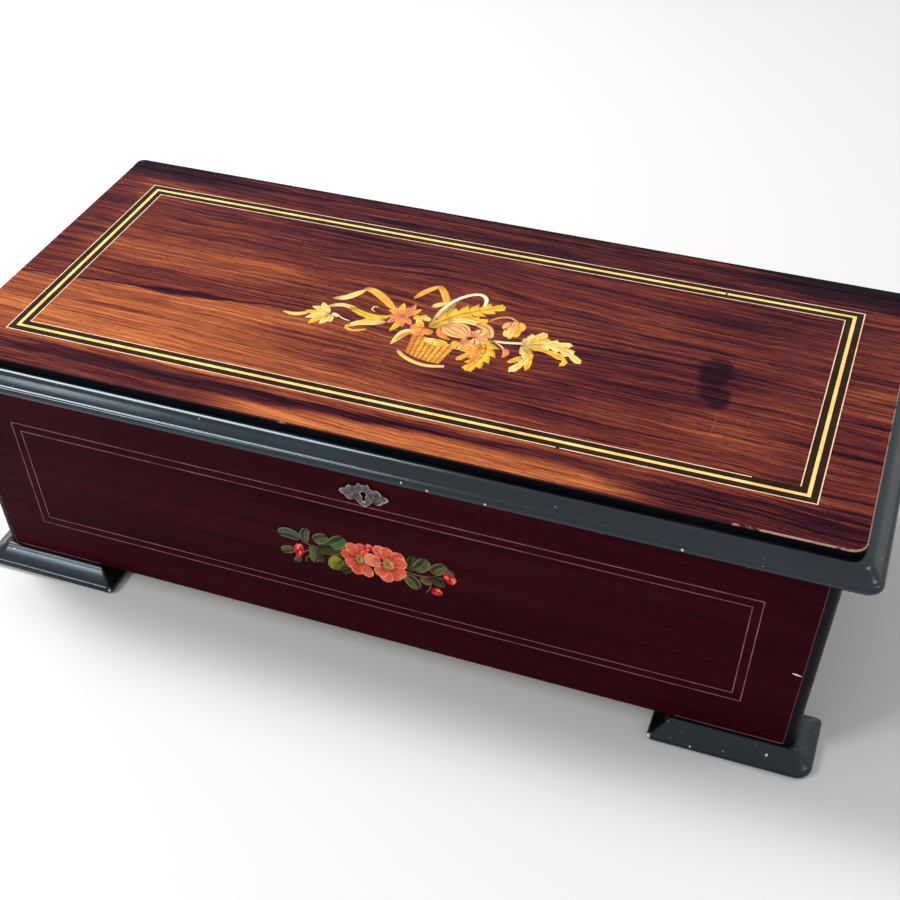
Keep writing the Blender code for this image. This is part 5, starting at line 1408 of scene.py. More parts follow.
@dataclass
class Case:
    """The case boards, the feet, the lines and the painted spray on the front, and the escutcheon."""

    shop: Workshop
    ease: float = 0.4 * MM
    inner_ease: float = 0.3 * MM
    flat_half: float = 243.0 * MM
    lines_half: Flat = (215.6, 38.25)
    lines_middle: Flat = (0.0, 76.1)
    lines: tuple[Flat, ...] = ((0.0, 0.55), (5.1, 5.65))
    field_depth: float = 0.32 * MM
    key_rise: float = 1.0 * MM
    key_collar: float = 1.34
    joint_line: float = 0.32
    joint_top: float = 136.0
    foot_line: Flat = (0.45, 0.95)
    foot_line_inset: float = 12.3
    foot_corner: float = 2.5 * MM
    foot_round: float = 9.0 * MM
    foot_return: Flat = (0.5 * MM, 3.0 * MM)
    foot_section: tuple[Flat, ...] = (
        (0.0, 1.0), (0.1, 1.0), (0.17, 0.97), (0.23, 0.91), (0.27, 0.85), (0.36, 0.77), (0.52, 0.65),
        (0.7, 0.54), (0.82, 0.47), (0.86, 0.46), (0.92, 0.42), (0.975, 0.35), (1.0, 0.26),
        (0.995, 0.17), (0.96, 0.09), (0.91, 0.03), (0.87, 0.0),
    )

    def build(self) -> None:
        """Dresses the boards and lays what stands on them."""
        corner = (Finishes.CORNER_BLACK, lambda spot, _: abs(spot.x) > self.flat_half + 0.02 * MM)
        self.shop.dress("front_panel", Finishes.CASE, self.ease, others=[corner])
        self.shop.dress("back_panel", Finishes.CASE, self.ease)
        for side in ("left", "right"):
            self.shop.dress(side + "_end", Finishes.CASE_END, self.ease)
        self.shop.dress("bottom_board", Finishes.BOTTOM, self.inner_ease)
        for side in ("left", "right"):
            self.shop.dress(side + "_partition", Finishes.INSIDE_END, self.inner_ease)
            for end in ("front", "back"):
                self.foot(side, end)
        self.front_work()
        self.spray()
        self.escutcheon()

    def foot(self, side: str, end: str) -> None:
        """Runs one foot's moulding round its four sides, rounded at the box's corner in front."""
        node = f"foot_{end}_{side}"
        low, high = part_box(node)
        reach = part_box("front_panel")[0].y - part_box("foot_front_left")[0].y
        tall = high.z - low.z
        section = [(reach * offset, low.z + tall * height) for offset, height in self.foot_section]
        inner = (low.x + reach, high.x - reach)
        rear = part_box("back_panel")[1].y if end == "back" else high.y - reach
        start = low.y + reach
        rounded = {"left": 0, "right": 1}[side]
        centres = ((inner[0], start, 180), (inner[1], start, 270), (inner[1], rear, 0), (inner[0], rear, 90))
        stations: list[Station] = []
        for i, (x, y, angle) in enumerate(centres):
            ways = corner_way(angle)
            if end == "front":
                tight, wide = (self.foot_corner, self.foot_round) if i == rounded else self.foot_return
                steps = 9 if i == rounded else 5
                centre = (x - ways.x * tight, y - ways.y * tight)
                stations += corner_round(centre, tight, angle, steps, (wide - tight) / reach)
            else:
                way = Vector((ways.x, 0.0)) if end == "back" and i > 1 else ways
                stations.append((Vector((x, y)), way))
        bm = run_moulding(stations, section, True)
        finish = Finishes.FOOT
        self.shop.place(self.shop.object_of(node + "_finished", bm, [finish], 60), "case", finish, node)

    def front_inlay(self) -> Inlay:
        """An inlay in the front board, counted from the floor under its middle."""
        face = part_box("front_panel")[0].y
        return Inlay(Vector((0.0, face, 0.0)), Vector((1, 0, 0)), Vector((0, 0, 1)))

    def front_work(self) -> None:
        """Lays the frames of hairline, the worn joints, the line over each foot and the edge's chip."""
        inlay = self.front_inlay()
        for start, end in self.lines:
            frame_slabs(inlay, self.lines_half, self.lines_middle, start, end, Finishes.HAIRLINE)
        edge = self.flat_half / MM
        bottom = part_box("front_panel")[0].z / MM
        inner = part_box("foot_front_right")[0].x / MM + self.foot_line_inset
        for way in (-1, 1):
            left, right = sorted((way * (edge - self.joint_line), way * edge))
            heights = (bottom + 0.5, self.joint_top)
            inlay.slab([[Vector((left, z)), Vector((right, z))] for z in heights], Finishes.WORN_JOINT)
            sides = sorted((way * inner, way * (edge - 0.5)))
            rows = [[Vector((x, bottom + z)) for z in reversed(self.foot_line)] for x in sides]
            inlay.slab(rows, Finishes.HAIRLINE)
        inlay.blade(((237.2, 69.3), (240.0, 68.9), (242.4, 68.5)), 1.1, Finishes.CHIP, Outline.LEAF)
        inlay.object(self.shop, "front_lines", "case")

    def spray(self) -> None:
        """Paints the spray of flowers in the middle of the front."""
        inlay = self.front_inlay()
        olive, dark, green = Finishes.LEAF, Finishes.LEAF_DARK, Finishes.LEAF_GREEN
        grey, lit, stem = Finishes.LEAF_GREY, Finishes.LEAF_PALE, Finishes.STEM
        stems = (
            ((0, 74), (-14, 73), (-27, 73.5), (-38, 77)),
            ((-24, 72), (-32, 68), (-36, 64), (-36, 61)),
            ((-30, 73), (-35, 70), (-40, 66)),
            ((16, 74), (30, 72.5), (38, 73), (48, 75)),
            ((33, 72), (38, 68.5), (39, 65), (36, 60)),
            ((-35, 76), (-34, 79), (-34, 84)),
        )
        for spine in stems:
            inlay.blade(spine, 1.0, stem, Outline.STRAP)
        leaves = (
            ((-38.5, 78.5), (-45, 80.5), (-52, 79.5), 7.4, grey),
            ((-35, 77), (-35.6, 82), (-33.2, 87.4), 5.6, grey),
            ((-43, 69), (-47, 67.5), (-51.5, 65.5), 5.6, olive),
            ((-40, 64.5), (-41.5, 61.5), (-43.5, 59.5), 3.6, grey),
            ((-31.5, 75.5), (-30, 70), (-31.5, 62.5), 6.8, olive),
            ((-27, 74), (-28, 69), (-25, 64), 4.6, dark),
            ((-30, 79), (-26, 82), (-21, 84.5), 7.4, olive),
            ((-28, 73.5), (-21, 75.5), (-13, 77.5), 8.4, dark),
            ((-20.5, 79), (-15, 82.5), (-11, 86.5), 9.2, green),
            ((-14, 70.5), (-17.5, 66.5), (-20, 60.8), 8.8, lit),
            ((-9, 67), (-11.5, 63.5), (-15, 60.8), 6.2, dark),
            ((26, 75), (28.5, 80), (29.5, 86), 7.0, dark),
            ((30, 76), (34.5, 80.5), (37, 86), 8.2, olive),
            ((24.5, 69.5), (28.5, 66.5), (31.5, 61.5), 8.6, olive),
            ((40.5, 76.5), (43.5, 80.5), (48.5, 84.5), 7.6, olive),
            ((39, 72.5), (43, 71.5), (47.5, 68.5), 6.2, dark),
            ((33.5, 71), (36.5, 69), (40, 69.5), 4.4, stem),
            ((47.5, 79.5), (50.5, 80.8), (53, 79), 2.8, grey),
        )
        for root, middle, tip, breadth, finish in leaves:
            inlay.blade((root, middle, tip), breadth, finish, Outline.STRAP)
        deep, coral, pale = Finishes.CORAL_DEEP, Finishes.CORAL, Finishes.CORAL_PALE
        small = (
            (-13.8, 75.0), (-11.5, 67.5), (-4.6, 61.2), (2.6, 61.4), (-1.5, 86.0), (-8.2, 84.8), (3.5, 80.0),
        )
        inlay.flower((-3.0, 74.0), small, 7.4, (deep, coral))
        heart = Finishes.HEART
        inlay.bloom((-2.8, 73.8), (2.3, 3.4), heart, 9)
        scarlet = Finishes.SCARLET
        large = (
            (7.0, 87.0), (14.6, 87.8), (22.4, 85.6), (25.8, 79.0),
            (25.2, 69.6), (19.4, 64.0), (13.4, 61.0), (6.8, 65.4),
        )
        self.bud(inlay, (2.9, 84.0), (3.6, 2.6), 55)
        inlay.flower((14.4, 75.2), large, 8.2, (coral, coral, deep))
        inlay.blade(((10.5, 75.5), (4.4, 75.5), (0.2, 76.5)), 9.6, pale, Outline.STRAP)
        inlay.bloom((14.4, 75.2), (3.5, 4.3), Finishes.CORAL_DEEP, 9)
        inlay.bloom((14.4, 75.2), (2.7, 3.5), heart, 11)
        self.bud(inlay, (-40.0, 69.2), (5.6, 3.1), 78)
        self.bud(inlay, (50.6, 75.8), (4.4, 3.5), -50)
        self.bud(inlay, (42.8, 63.2), (3.4, 2.9), 20)
        inlay.bloom((42.0, 61.6), (1.4, 1.0), scarlet)
        inlay.object(self.shop, "front_spray", "case")

    @staticmethod
    def bud(inlay: Inlay, middle: Flat, size: Flat, lean: float) -> None:
        """Paints a bud with its two pale lights.

        Args:
            inlay: what it is laid in.
            middle: its middle, in mm.
            size: its half length and half breadth, in mm.
            lean: the angle of its length, in degrees.
        """
        scarlet = Finishes.SCARLET
        inlay.bloom(middle, size, scarlet, 3, 15, lean)
        heading = Matrix.Rotation(math.radians(lean), 2)
        for spot in ((0.25, 0.3), (-0.35, -0.25)):
            light = Vector(middle) + heading @ Vector((spot[0] * size[0], spot[1] * size[1]))
            half = (size[0] * 0.3, size[1] * 0.22)
            inlay.bloom(light, half, Finishes.CORAL_PALE, 0, 0.0, lean)

    def escutcheon(self) -> None:
        """Builds the scrolled plate round the keyhole, with its raised rim and its cut field."""
        low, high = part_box("escutcheon")
        middle = Vector(((low.x + high.x) / 2, (low.z + high.z) / 2))
        key = middle + Vector((0.0, self.key_rise))
        half = (
            (0.0, 7.3), (1.1, 6.9), (2.2, 7.9), (3.3, 7.0), (4.2, 5.4), (5.8, 5.1), (7.6, 5.3), (9.4, 4.2),
            (10.4, 2.6), (12.0, 2.1), (13.6, 1.1), (14.1, -0.3), (12.9, -1.6), (11.3, -2.1), (10.5, -3.5),
            (8.8, -4.6), (6.9, -4.3), (5.4, -3.5), (4.1, -4.3), (3.0, -5.9), (1.6, -6.9), (0.0, -8.0),
        )
        points = [*half, *((-x, y) for x, y in reversed(half[1:-1]))]
        outline = flowing([*points, points[0]], 161)[:-1]
        outline = [middle + point * MM for point in outline]
        keyway = [key + self.keyway(point - key) for point in outline]
        back, front = high.y, low.y
        field = front + self.field_depth
        shoulder = back - (back - front) * 0.7
        steps = ((0.0, back), (0.0, shoulder), (0.035, front), (0.07, front), (0.105, field))
        rings = [[(middle + (p - middle) * (1 - inset), y) for p in outline] for inset, y in steps]
        bevel = [key + (p - key) * self.key_collar for p in keyway]
        rings += [[(p, field) for p in bevel], [(p, front + 0.12 * MM) for p in bevel]]
        rings += [[(p, front + 0.2 * MM) for p in keyway], [(p, back) for p in keyway]]
        bm = bmesh.new()
        loops = [[bm.verts.new((p.x, y, p.y)) for p, y in ring] for ring in rings]
        for i, loop in enumerate(loops):
            after = loops[(i + 1) % len(loops)]
            for j in range(len(loop)):
                k = (j + 1) % len(loop)
                face = bm.faces.new((loop[j], loop[k], after[k], after[j]))
                face.material_index = 1 if i == 4 else 0
        bmesh.ops.recalc_face_normals(bm, faces=bm.faces)
        rim = Finishes.RIM
        piece = self.shop.object_of("escutcheon_finished", bm, [rim, Finishes.PLATE], 30)
        self.shop.place(piece, "case", rim, "escutcheon")

    @staticmethod
    def keyway(way: Vector) -> Vector:
        """The keyhole's edge, a round with a slot below it, in the way of a point as seen from its middle."""
        angle = math.atan2(way.y, way.x)
        round_part = 1.75 * MM
        slot = 0.85 * MM
        drop = 4.6 * MM
        reach = round_part
        if way.y < 0:
            side = slot / max(abs(math.cos(angle)), 1e-6)
            floor = drop / max(abs(math.sin(angle)), 1e-6)
            reach = max(round_part, min(side, floor))
        return Vector((math.cos(angle), math.sin(angle))) * reach


@dataclass
class Lid:
    """The lid board with its stringing and its inlaid basket, the moulding round it and its hinges."""

    shop: Workshop
    half: Flat = (228.0, 86.1)
    middle: Flat = (0.0, 5.8)
    sunk: float = 0.27 * MM
    board_ease: float = 0.35 * MM
    strip_ease: float = 0.3 * MM
    leaf_ease: float = 0.15 * MM
    lines: tuple[tuple[Finishes, float, float], ...] = (
        (Finishes.LINE_THIN, 0.0, 0.65),
        (Finishes.LINE_DARK, 0.65, 4.3),
        (Finishes.LINE_THICK, 4.3, 6.3),
        (Finishes.LINE_DARK, 6.3, 9.8),
        (Finishes.LINE_THIN, 9.8, 10.4),
    )
    rear_inset: Flat = (0.5, 2.6)
    rear_end: float = 4.0
    skin: float = 3.0 * MM
    corner: float = 7.5 * MM
    section: tuple[Flat, ...] = (
        (0.3, 0.0), (1.0, 0.0), (2.0, 0.1), (3.0, 0.32), (3.9, 0.66), (4.7, 1.12), (5.4, 1.66),
        (6.2, 2.4), (7.6, 3.6), (9.2, 4.9), (9.8, 5.15), (10.2, 5.15), (10.8, 5.3), (11.4, 5.8),
        (11.8, 6.55), (12.0, 7.5), (11.9, 8.5), (11.6, 9.4), (11.1, 10.15), (10.4, 10.7), (9.6, 11.0),
        (0.3, 11.0),
    )

    def build(self) -> None:
        """Dresses the lid and lays what is let into it."""
        self.board()
        strip = [
            (Finishes.EDGE_BLACK, lambda _, out: abs(out.z) <= 0.8),
            (Finishes.LID_INSIDE, lambda _, out: out.z < -0.5),
        ]
        self.sink(self.shop.dress("lid_back_strip", Finishes.LID, self.strip_ease, others=strip))
        self.rear_line_and_shade()
        self.moulding()
        for side in ("left", "right"):
            self.shop.dress("lid_hinge_leaf_" + side, Finishes.BRASS, self.leaf_ease)
            self.shop.dress("case_hinge_leaf_" + side, Finishes.BRASS, self.leaf_ease)
        self.stringing()
        self.basket()

    def board(self) -> None:
        """Dresses the board, its veneer a hair lower than the inlay's highest layer."""
        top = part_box("lid_board")[1].z
        others = [
            (Finishes.WORN, lambda spot, out: 0.1 < out.z < 0.93 and spot.z > top - 1.0 * MM),
            (Finishes.EDGE_BLACK, lambda _, out: abs(out.z) <= 0.1),
            (Finishes.LID_INSIDE, lambda _, out: out.z < -0.1),
        ]
        self.sink(self.shop.dress("lid_board", Finishes.LID, self.board_ease, others=others))

    def sink(self, piece: Object) -> None:
        """Lowers a board's top by the depth that the inlay's layers need."""
        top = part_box("lid_board")[1].z
        for vert in piece.data.vertices:
            if vert.co.z > top - self.skin:
                vert.co.z -= self.sunk

    def moulding(self) -> None:
        """Runs the moulding in one length round the left end, the front and the right end."""
        low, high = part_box("lid_board")
        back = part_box("lid_back_strip")[1].y
        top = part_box("lid_moulding_front")[1].z
        section = [(offset * MM, top - drop * MM) for offset, drop in self.section]
        radius = self.corner
        left = (low.x + radius, low.y + radius)
        right = (high.x - radius, low.y + radius)
        stations: list[Station] = [(Vector((low.x, back)), Vector((-1.0, 0.0)))]
        stations += corner_round(left, radius, 180, 12, 0.0)
        stations += corner_round(right, radius, 270, 12, 0.0)
        stations.append((Vector((high.x, back)), Vector((1.0, 0.0))))
        bm = run_moulding(stations, section, False)
        finish = Finishes.EBONISED
        nodes = ["lid_moulding_" + side for side in ("front", "left", "right")]
        self.shop.place(self.shop.object_of("lid_moulding_finished", bm, [finish], 60), "lid", finish, *nodes)

    def rear_line_and_shade(self) -> None:
        """Lays the dark line along the back of the lid, broader at its two ends, where the broadening is painted
        shade.
        """
        inlay = self.lid_inlay()
        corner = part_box("lid_back_strip")[1] / MM
        rear, front = (corner.y - inset for inset in self.rear_inset)
        end = corner.x - self.rear_end
        rows = []
        for i in range(25):
            share = i / 24
            x = -end + 2 * end * share
            # Towards both ends the dark line broadens into painted shade at the lid's back corners.
            painted_shade_widening = max(0.0, abs(x + 20) / end - 0.45) ** 2 * 16
            near = front + 1.0 - painted_shade_widening + 0.25 * math.sin(9.0 * share * math.pi)
            rows.append([Vector((x, rear)), Vector((x, near))])
        inlay.slab(rows, Finishes.EDGE_BLACK)
        inlay.object(self.shop, "lid_rear_line", "lid")

    def lid_inlay(self) -> Inlay:
        """An inlay in the lid, counted from the middle of the box."""
        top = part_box("lid_board")[1].z - self.sunk
        return Inlay(Vector((0.0, 0.0, top)), Vector((1, 0, 0)), Vector((0, 1, 0)))

    def stringing(self) -> None:
        """Lays the frames of pale and dark line one inside the other, their losses and the scratch."""
        inlay = self.lid_inlay()
        for finish, start, end in self.lines:
            frame_slabs(inlay, self.half, self.middle, start, end, finish)
        dark = Finishes.LINE_DARK
        losses = ((194.0, 218.4, -70.7, -69.5), (148.9, 150.0, 85.6, 87.4), (96.4, 98.2, -80.6, -79.4))
        for left, right, low, high in losses:
            rows = [[Vector((x, high)), Vector((x, low))] for x in (left, right)]
            inlay.slab(rows, dark)
        inlay.blade(((167.4, -24), (167.8, -35), (167.5, -46.7)), 0.3, Finishes.SCRATCH, Outline.STRAP)
        inlay.object(self.shop, "lid_stringing", "lid")

    def basket(self) -> None:
        """Lays the basket of flowers with its ribbons and leaves in the middle of the lid."""
        inlay = self.lid_inlay()
        self.ribbons(inlay)
        self.left_flowers(inlay)
        self.foliage(inlay)
        self.bouquet(inlay)
        self.right_spray(inlay)
        inlay.object(self.shop, "lid_basket", "lid")

    def ribbons(self, inlay: Inlay) -> None:
        """Lays the ribbons to the left and the loops over the basket."""
        cream, yellow, gold = Finishes.WOOD_CREAM, Finishes.WOOD_YELLOW, Finishes.WOOD_GOLD
        straps = (
            (((-65, 7.8), (-57.5, 11.5), (-52.5, 18), (-49.5, 23)), 5.0, cream, Outline.LEAF),
            (((-51.5, 23.8), (-44, 22.2), (-35.5, 16.5), (-26.5, 8.5)), 5.6, gold, Outline.STRAP),
            (((-65, -1.2), (-57.5, 3.2), (-50, 2.4), (-43, -1.0)), 3.6, cream, Outline.STRAP),
            (((-52, 2.8), (-42, -1.2), (-34, -2.2), (-27, 0.4)), 5.2, yellow, Outline.STRAP),
            (((-26, -4.4), (-34, -8.2), (-41, -10.6), (-45.6, -15.2)), 4.8, cream, Outline.STRAP),
            (((-45.4, -12.6), (-45.8, -16.8), (-41, -18.2), (-34.2, -14.8)), 2.4, gold, Outline.STRAP),
            (((-28, -1.5), (-35.5, -5.0), (-41.5, -9.0)), 4.0, yellow, Outline.LEAF),
            (((-20.3, 22.2), (-17.2, 30), (-12.8, 36.8), (-9.2, 40.8)), 4.2, gold, Outline.LEAF),
            (((-10.8, 40.4), (-6.5, 35.5), (-2.2, 28.5), (0.4, 22.4)), 4.6, gold, Outline.STRAP),
            (((-7.6, 18.0), (-4.0, 21.5), (-0.4, 25.2)), 4.2, cream, Outline.LEAF),
        )
        for spine, breadth, finish, outline in straps:
            inlay.blade(spine, breadth, finish, outline)
        inlay.blade(((-36, 2.6), (-38.9, 4.6), (-38.4, 7.8), (-36, 7.6)), 0.9, cream, Outline.STRAP)

    def left_flowers(self, inlay: Inlay) -> None:
        """Lays the fan-shaped bloom, the bud and the carnation."""
        cream, yellow, orange = Finishes.WOOD_CREAM, Finishes.WOOD_YELLOW, Finishes.WOOD_ORANGE
        white, pink, leaf = Finishes.WOOD_WHITE, Finishes.WOOD_PINK, Outline.LEAF
        inlay.blade(((-70.5, -8.5), (-76, -12.8), (-81, -14.2), (-87, -13.4)), 3.4, cream)
        inlay.blade(((-46, -10.4), (-50.5, -9.6), (-54.5, -7.6)), 1.0, white, Outline.STRAP)
        tips = (
            (-56.2, -15.0), (-61.6, -18.6), (-67.8, -20.6), (-68.2, 2.0),
            (-72.6, -3.6), (-74.6, -8.6), (-71.8, -15.6),
        )
        inlay.flower((-60.0, -7.4), tips, 5.0, (cream, cream, yellow), 0.04, leaf)
        inlay.bloom((-56.4, -7.4), (2.7, 1.4), white, lean=-20)
        spikes = (
            (-29.6, 7.2), (-28.8, 1.4), (-25.6, -5.2), (-21.4, -12.6), (-15.8, -6.4), (-12.2, -3.0),
            (-11.8, 13.8), (-14.0, 8.4), (-16.6, 17.4), (-23.6, 16.6), (-19.8, 13.0), (-26.6, 11.0),
        )
        inlay.flower((-19.8, 3.6), spikes, 4.2, (yellow, orange, pink), 0.02, leaf)
        hearts = ((-23.0, 10.4), (-17.2, 11.6), (-15.2, 0.8), (-21.6, -4.0))
        inlay.flower((-19.4, 3.8), hearts, 3.4, (orange, pink), 0.0, leaf)

    def foliage(self, inlay: Inlay) -> None:
        """Lays the leaves behind the bouquet, the handle over them, and the leaves beside the basket."""
        cream, yellow, olive = Finishes.WOOD_CREAM, Finishes.WOOD_YELLOW, Finishes.WOOD_OLIVE
        gold, orange = Finishes.WOOD_GOLD, Finishes.WOOD_ORANGE
        inlay.blade(((1.8, 8), (2.6, 17), (4.6, 27)), 5.0, olive)
        inlay.blade(((-2, -2), (8, 13), (19, 22.5), (33, 31.6)), 15.0, yellow, Outline.FROND, 7)
        inlay.blade(((8, 7.5), (17.5, 12.6), (28.6, 14.4)), 8.6, yellow, Outline.FROND, 4)
        handle = ((-1.8, 4), (-0.9, 16), (2.6, 27.5), (9, 36), (15.5, 39), (20.2, 35.2), (21.2, 28))
        inlay.blade(handle, 2.5, Finishes.WOOD_WHITE, Outline.BAND)
        inlay.blade(((-8.4, -6.8), (-13.4, -12.5), (-16.2, -24.2)), 5.6, cream)
        inlay.blade(((-9.4, -9.6), (-13.0, -14.0), (-15.4, -20.0)), 2.4, orange)
        inlay.blade(((27, -6), (28.6, -16), (23.2, -26.4)), 6.6, gold, Outline.FROND, 3)
        inlay.blade(((30, -2), (35.5, -11), (35, -22), (31.2, -33.6)), 14.5, yellow, Outline.FROND, 6)
        inlay.blade(((31.6, -8), (32.4, -18), (30.6, -30)), 4.2, orange)

    def bouquet(self, inlay: Inlay) -> None:
        """Lays the basket and the flowers that fill it."""
        cream, yellow, gold = Finishes.WOOD_CREAM, Finishes.WOOD_YELLOW, Finishes.WOOD_GOLD
        peach, pink, orange = Finishes.WOOD_PEACH, Finishes.WOOD_PINK, Finishes.WOOD_ORANGE
        rows = []
        for i in range(9):
            share = i / 8
            sag = Vector((0, -1.6 * math.sin(math.pi * share)))
            high = Vector((-8.4, -10.0)).lerp(Vector((19.2, -14.0)), share)
            low = Vector((-5.8, -28.4)).lerp(Vector((15.6, -32.6)), share) + sag
            rows.append([high, high.lerp(low, 0.5), low])
        inlay.slab(rows, Finishes.WOVEN)
        foot = ((-10.9, -27.4), (-5.2, -32.2), (2.4, -35.4), (10.4, -36.2), (19.2, -33.8))
        inlay.blade(foot, 2.5, cream, Outline.BAND)
        tips = ((-13.6, 5.4), (-10.6, 0.8), (-8.8, 8.4), (-3.6, 6.4))
        inlay.flower((-7.0, 3.4), tips, 4.6, (yellow, cream), 0.0)
        tips = ((-11.6, -5.4), (-8.8, -10.6), (-3.6, -11.8), (-9.4, 1.0), (2.0, -7.6))
        inlay.flower((-4.0, -3.0), tips, 5.6, (orange, gold), 0.0)
        inlay.blade(((5.6, 7.6), (15.5, 10.8), (28.8, 9.8)), 4.8, cream, Outline.STRAP)
        inlay.blade(((22, 10), (29.6, 8.2), (34.8, -0.6)), 6.0, peach, Outline.STRAP)
        tips = ((1.2, -15.6), (5.4, -17.4), (9.8, -16.8), (13.4, -15.6))
        inlay.flower((6.0, -11.0), tips, 4.6, (cream, yellow), 0.0)
        tips = ((33.8, -4.6), (32.8, 2.6), (27.4, 5.6), (21.6, 2.0), (28.4, -9.8))
        inlay.flower((26.6, -2.6), tips, 7.4, (peach, pink), 0.0)
        tips = ((28.6, -12.6), (25.4, -17.2), (19.6, -17.0), (15.4, -13.2))
        inlay.flower((21.4, -10.2), tips, 6.6, (peach, gold), 0.0)
        inlay.bloom((22.0, -8.0), (3.0, 2.4), pink, 5, 20)
        inlay.blade(((4.4, 1.8), (7.0, -6.0), (14.0, -9.8)), 4.6, orange)
        for shift, breadth in ((-3.9, 5.4), (4.3, 5.0), (-1.4, 5.6), (2.0, 5.6)):
            away = Vector((0.55, 0.83)) * shift
            spine = (((5.8, 3.4), 0.35), ((14.2, 0.6), 1.25), ((22.6, -4.4), 0.35))
            inlay.blade([Vector(spot) + away * share for spot, share in spine], breadth, peach)

    def right_spray(self, inlay: Inlay) -> None:
        """Lays the nodding flower, the bud and the scrolled leaves to the right."""
        cream, yellow, white = Finishes.WOOD_CREAM, Finishes.WOOD_YELLOW, Finishes.WOOD_WHITE
        peach, gold, pink = Finishes.WOOD_PEACH, Finishes.WOOD_GOLD, Finishes.WOOD_PINK
        inlay.blade(((27.6, 13.4), (32.4, 19.6), (38.2, 22.0), (43.0, 20.2)), 1.5, pink, Outline.BAND)
        inlay.flower((43.6, 18.6), ((41.6, 3.4), (47.4, 4.6), (44.6, 2.2)), 4.4, (cream, yellow), 0.2)
        inlay.bloom((40.9, 13.8), (4.6, 3.7), peach, lean=70)
        inlay.bloom((46.4, 14.6), (4.8, 3.8), gold, lean=100)
        inlay.blade(((43.6, 20.6), (43.2, 15.6), (43.8, 10.0)), 3.6, peach)
        inlay.blade(((36.4, -2.8), (45.5, -1.6), (56, 1.4)), 2.0, white, Outline.BAND)
        inlay.blade(((37.6, -3.2), (42.6, -6.0), (45.4, -9.0)), 0.9, cream, Outline.STRAP)
        inlay.blade(((44.6, -7.4), (47.2, -11.4), (46.2, -16.2)), 3.8, pink, Outline.LEAF)
        scrolls = (
            (((52.6, -1.2), (62, -1.6), (74, -4.0), (80, -8.6), (78.0, -13.4)), 5.0, 3, yellow),
            (((54, -1), (66, 3.4), (77, 1.4), (88.6, -7.6)), 8.6, 5, cream),
            (((60, 1), (69, 5.6), (80.2, 7.4)), 6.6, 3, cream),
            (((53, 0), (56.8, 6.4), (63.6, 13.6)), 7.8, 3, cream),
            (((56.4, 2), (60.6, 5.2), (66.4, 9.0)), 4.6, 2, yellow),
            (((53, -1), (58.2, -9.4), (58.0, -18.0), (53.6, -27.4)), 7.4, 3, cream),
            (((56, -4), (61.2, -12), (62.0, -23.4)), 4.4, 2, yellow),
            (((57.0, -12), (54.0, -15.6), (50.6, -19.4)), 3.6, 0, yellow),
        )
        for spine, breadth, teeth, finish in scrolls:
            inlay.blade(spine, breadth * 1.15, finish, Outline.FROND, teeth)


class Pattern(Nodes):
    """A Geometry Nodes tree with named sizes, run once on a piece."""

    def __init__(self, name: str, sizes: dict[str, float]) -> None:
        """Starts the tree with one input for each size."""
        super().__init__(bpy.data.node_groups.new(name, "GeometryNodeTree"))
        self.sizes = sizes
        face = self.tree.interface
        face.new_socket("Geometry", in_out="OUTPUT", socket_type="NodeSocketGeometry")
        face.new_socket("Geometry", in_out="INPUT", socket_type="NodeSocketGeometry")
        self.keys = {}
        for size in sizes:
            self.keys[size] = face.new_socket(size, in_out="INPUT", socket_type="NodeSocketFloat").identifier
        self.given = self.node("NodeGroupInput")

    def chance(self, low: float, high: float, seed: int) -> Wire:
        """A number between two others for each point, the same on every run."""
        return self.node("FunctionNodeRandomValue", {"data_type": "FLOAT"}, {2: low, 3: high, 8: seed}).first

    def vector(self, x: Number, y: Number, z: Number) -> Wire:
        """A vector from its three numbers."""
        return self.node("ShaderNodeCombineXYZ", values={0: x, 1: y, 2: z}).first

    def joined(self, *parts: Wire) -> Wire:
        """The parts as one geometry."""
        join = self.node("GeometryNodeJoinGeometry")
        for part in parts:
            self.tree.links.new(part.socket, join.node.inputs[0])
        return join.first

    def run(self, shop: Workshop, name: str, start: Mesh, instances: Wire, finish: Finishes) -> Object:
        """Ends the tree and turns its result into a plain piece.

        Args:
            shop: the workshop.
            name: the piece's name.
            start: the mesh that the tree starts from.
            instances: the tree's last instances.
            finish: their finish.

        Returns:
            The piece.
        """
        real = self.node("GeometryNodeRealizeInstances", values={0: instances}).first
        values = {"Geometry": real, "Material": finish.material()}
        done = self.node("GeometryNodeSetMaterial", values=values).first
        self.node("NodeGroupOutput", values={0: done})
        piece = added(name, start)
        modifier = piece.modifiers.new(name, "NODES")
        modifier.node_group = self.tree
        for size, value in self.sizes.items():
            modifier[self.keys[size]] = value
        return shop.settled(piece, modifier)


UP = (0.0, 0.0, 1.0)
DOWN = (0.0, 0.0, -1.0)
RIGHT = (1.0, 0.0, 0.0)


@dataclass(frozen=True)
class ScrewRow:
    """Slotted screws at even steps from one place to another, in mm, all facing one way."""

    node: str
    start: Place
    end: Place
    count: int
    radius: float
    height: float
    facing: Place = UP


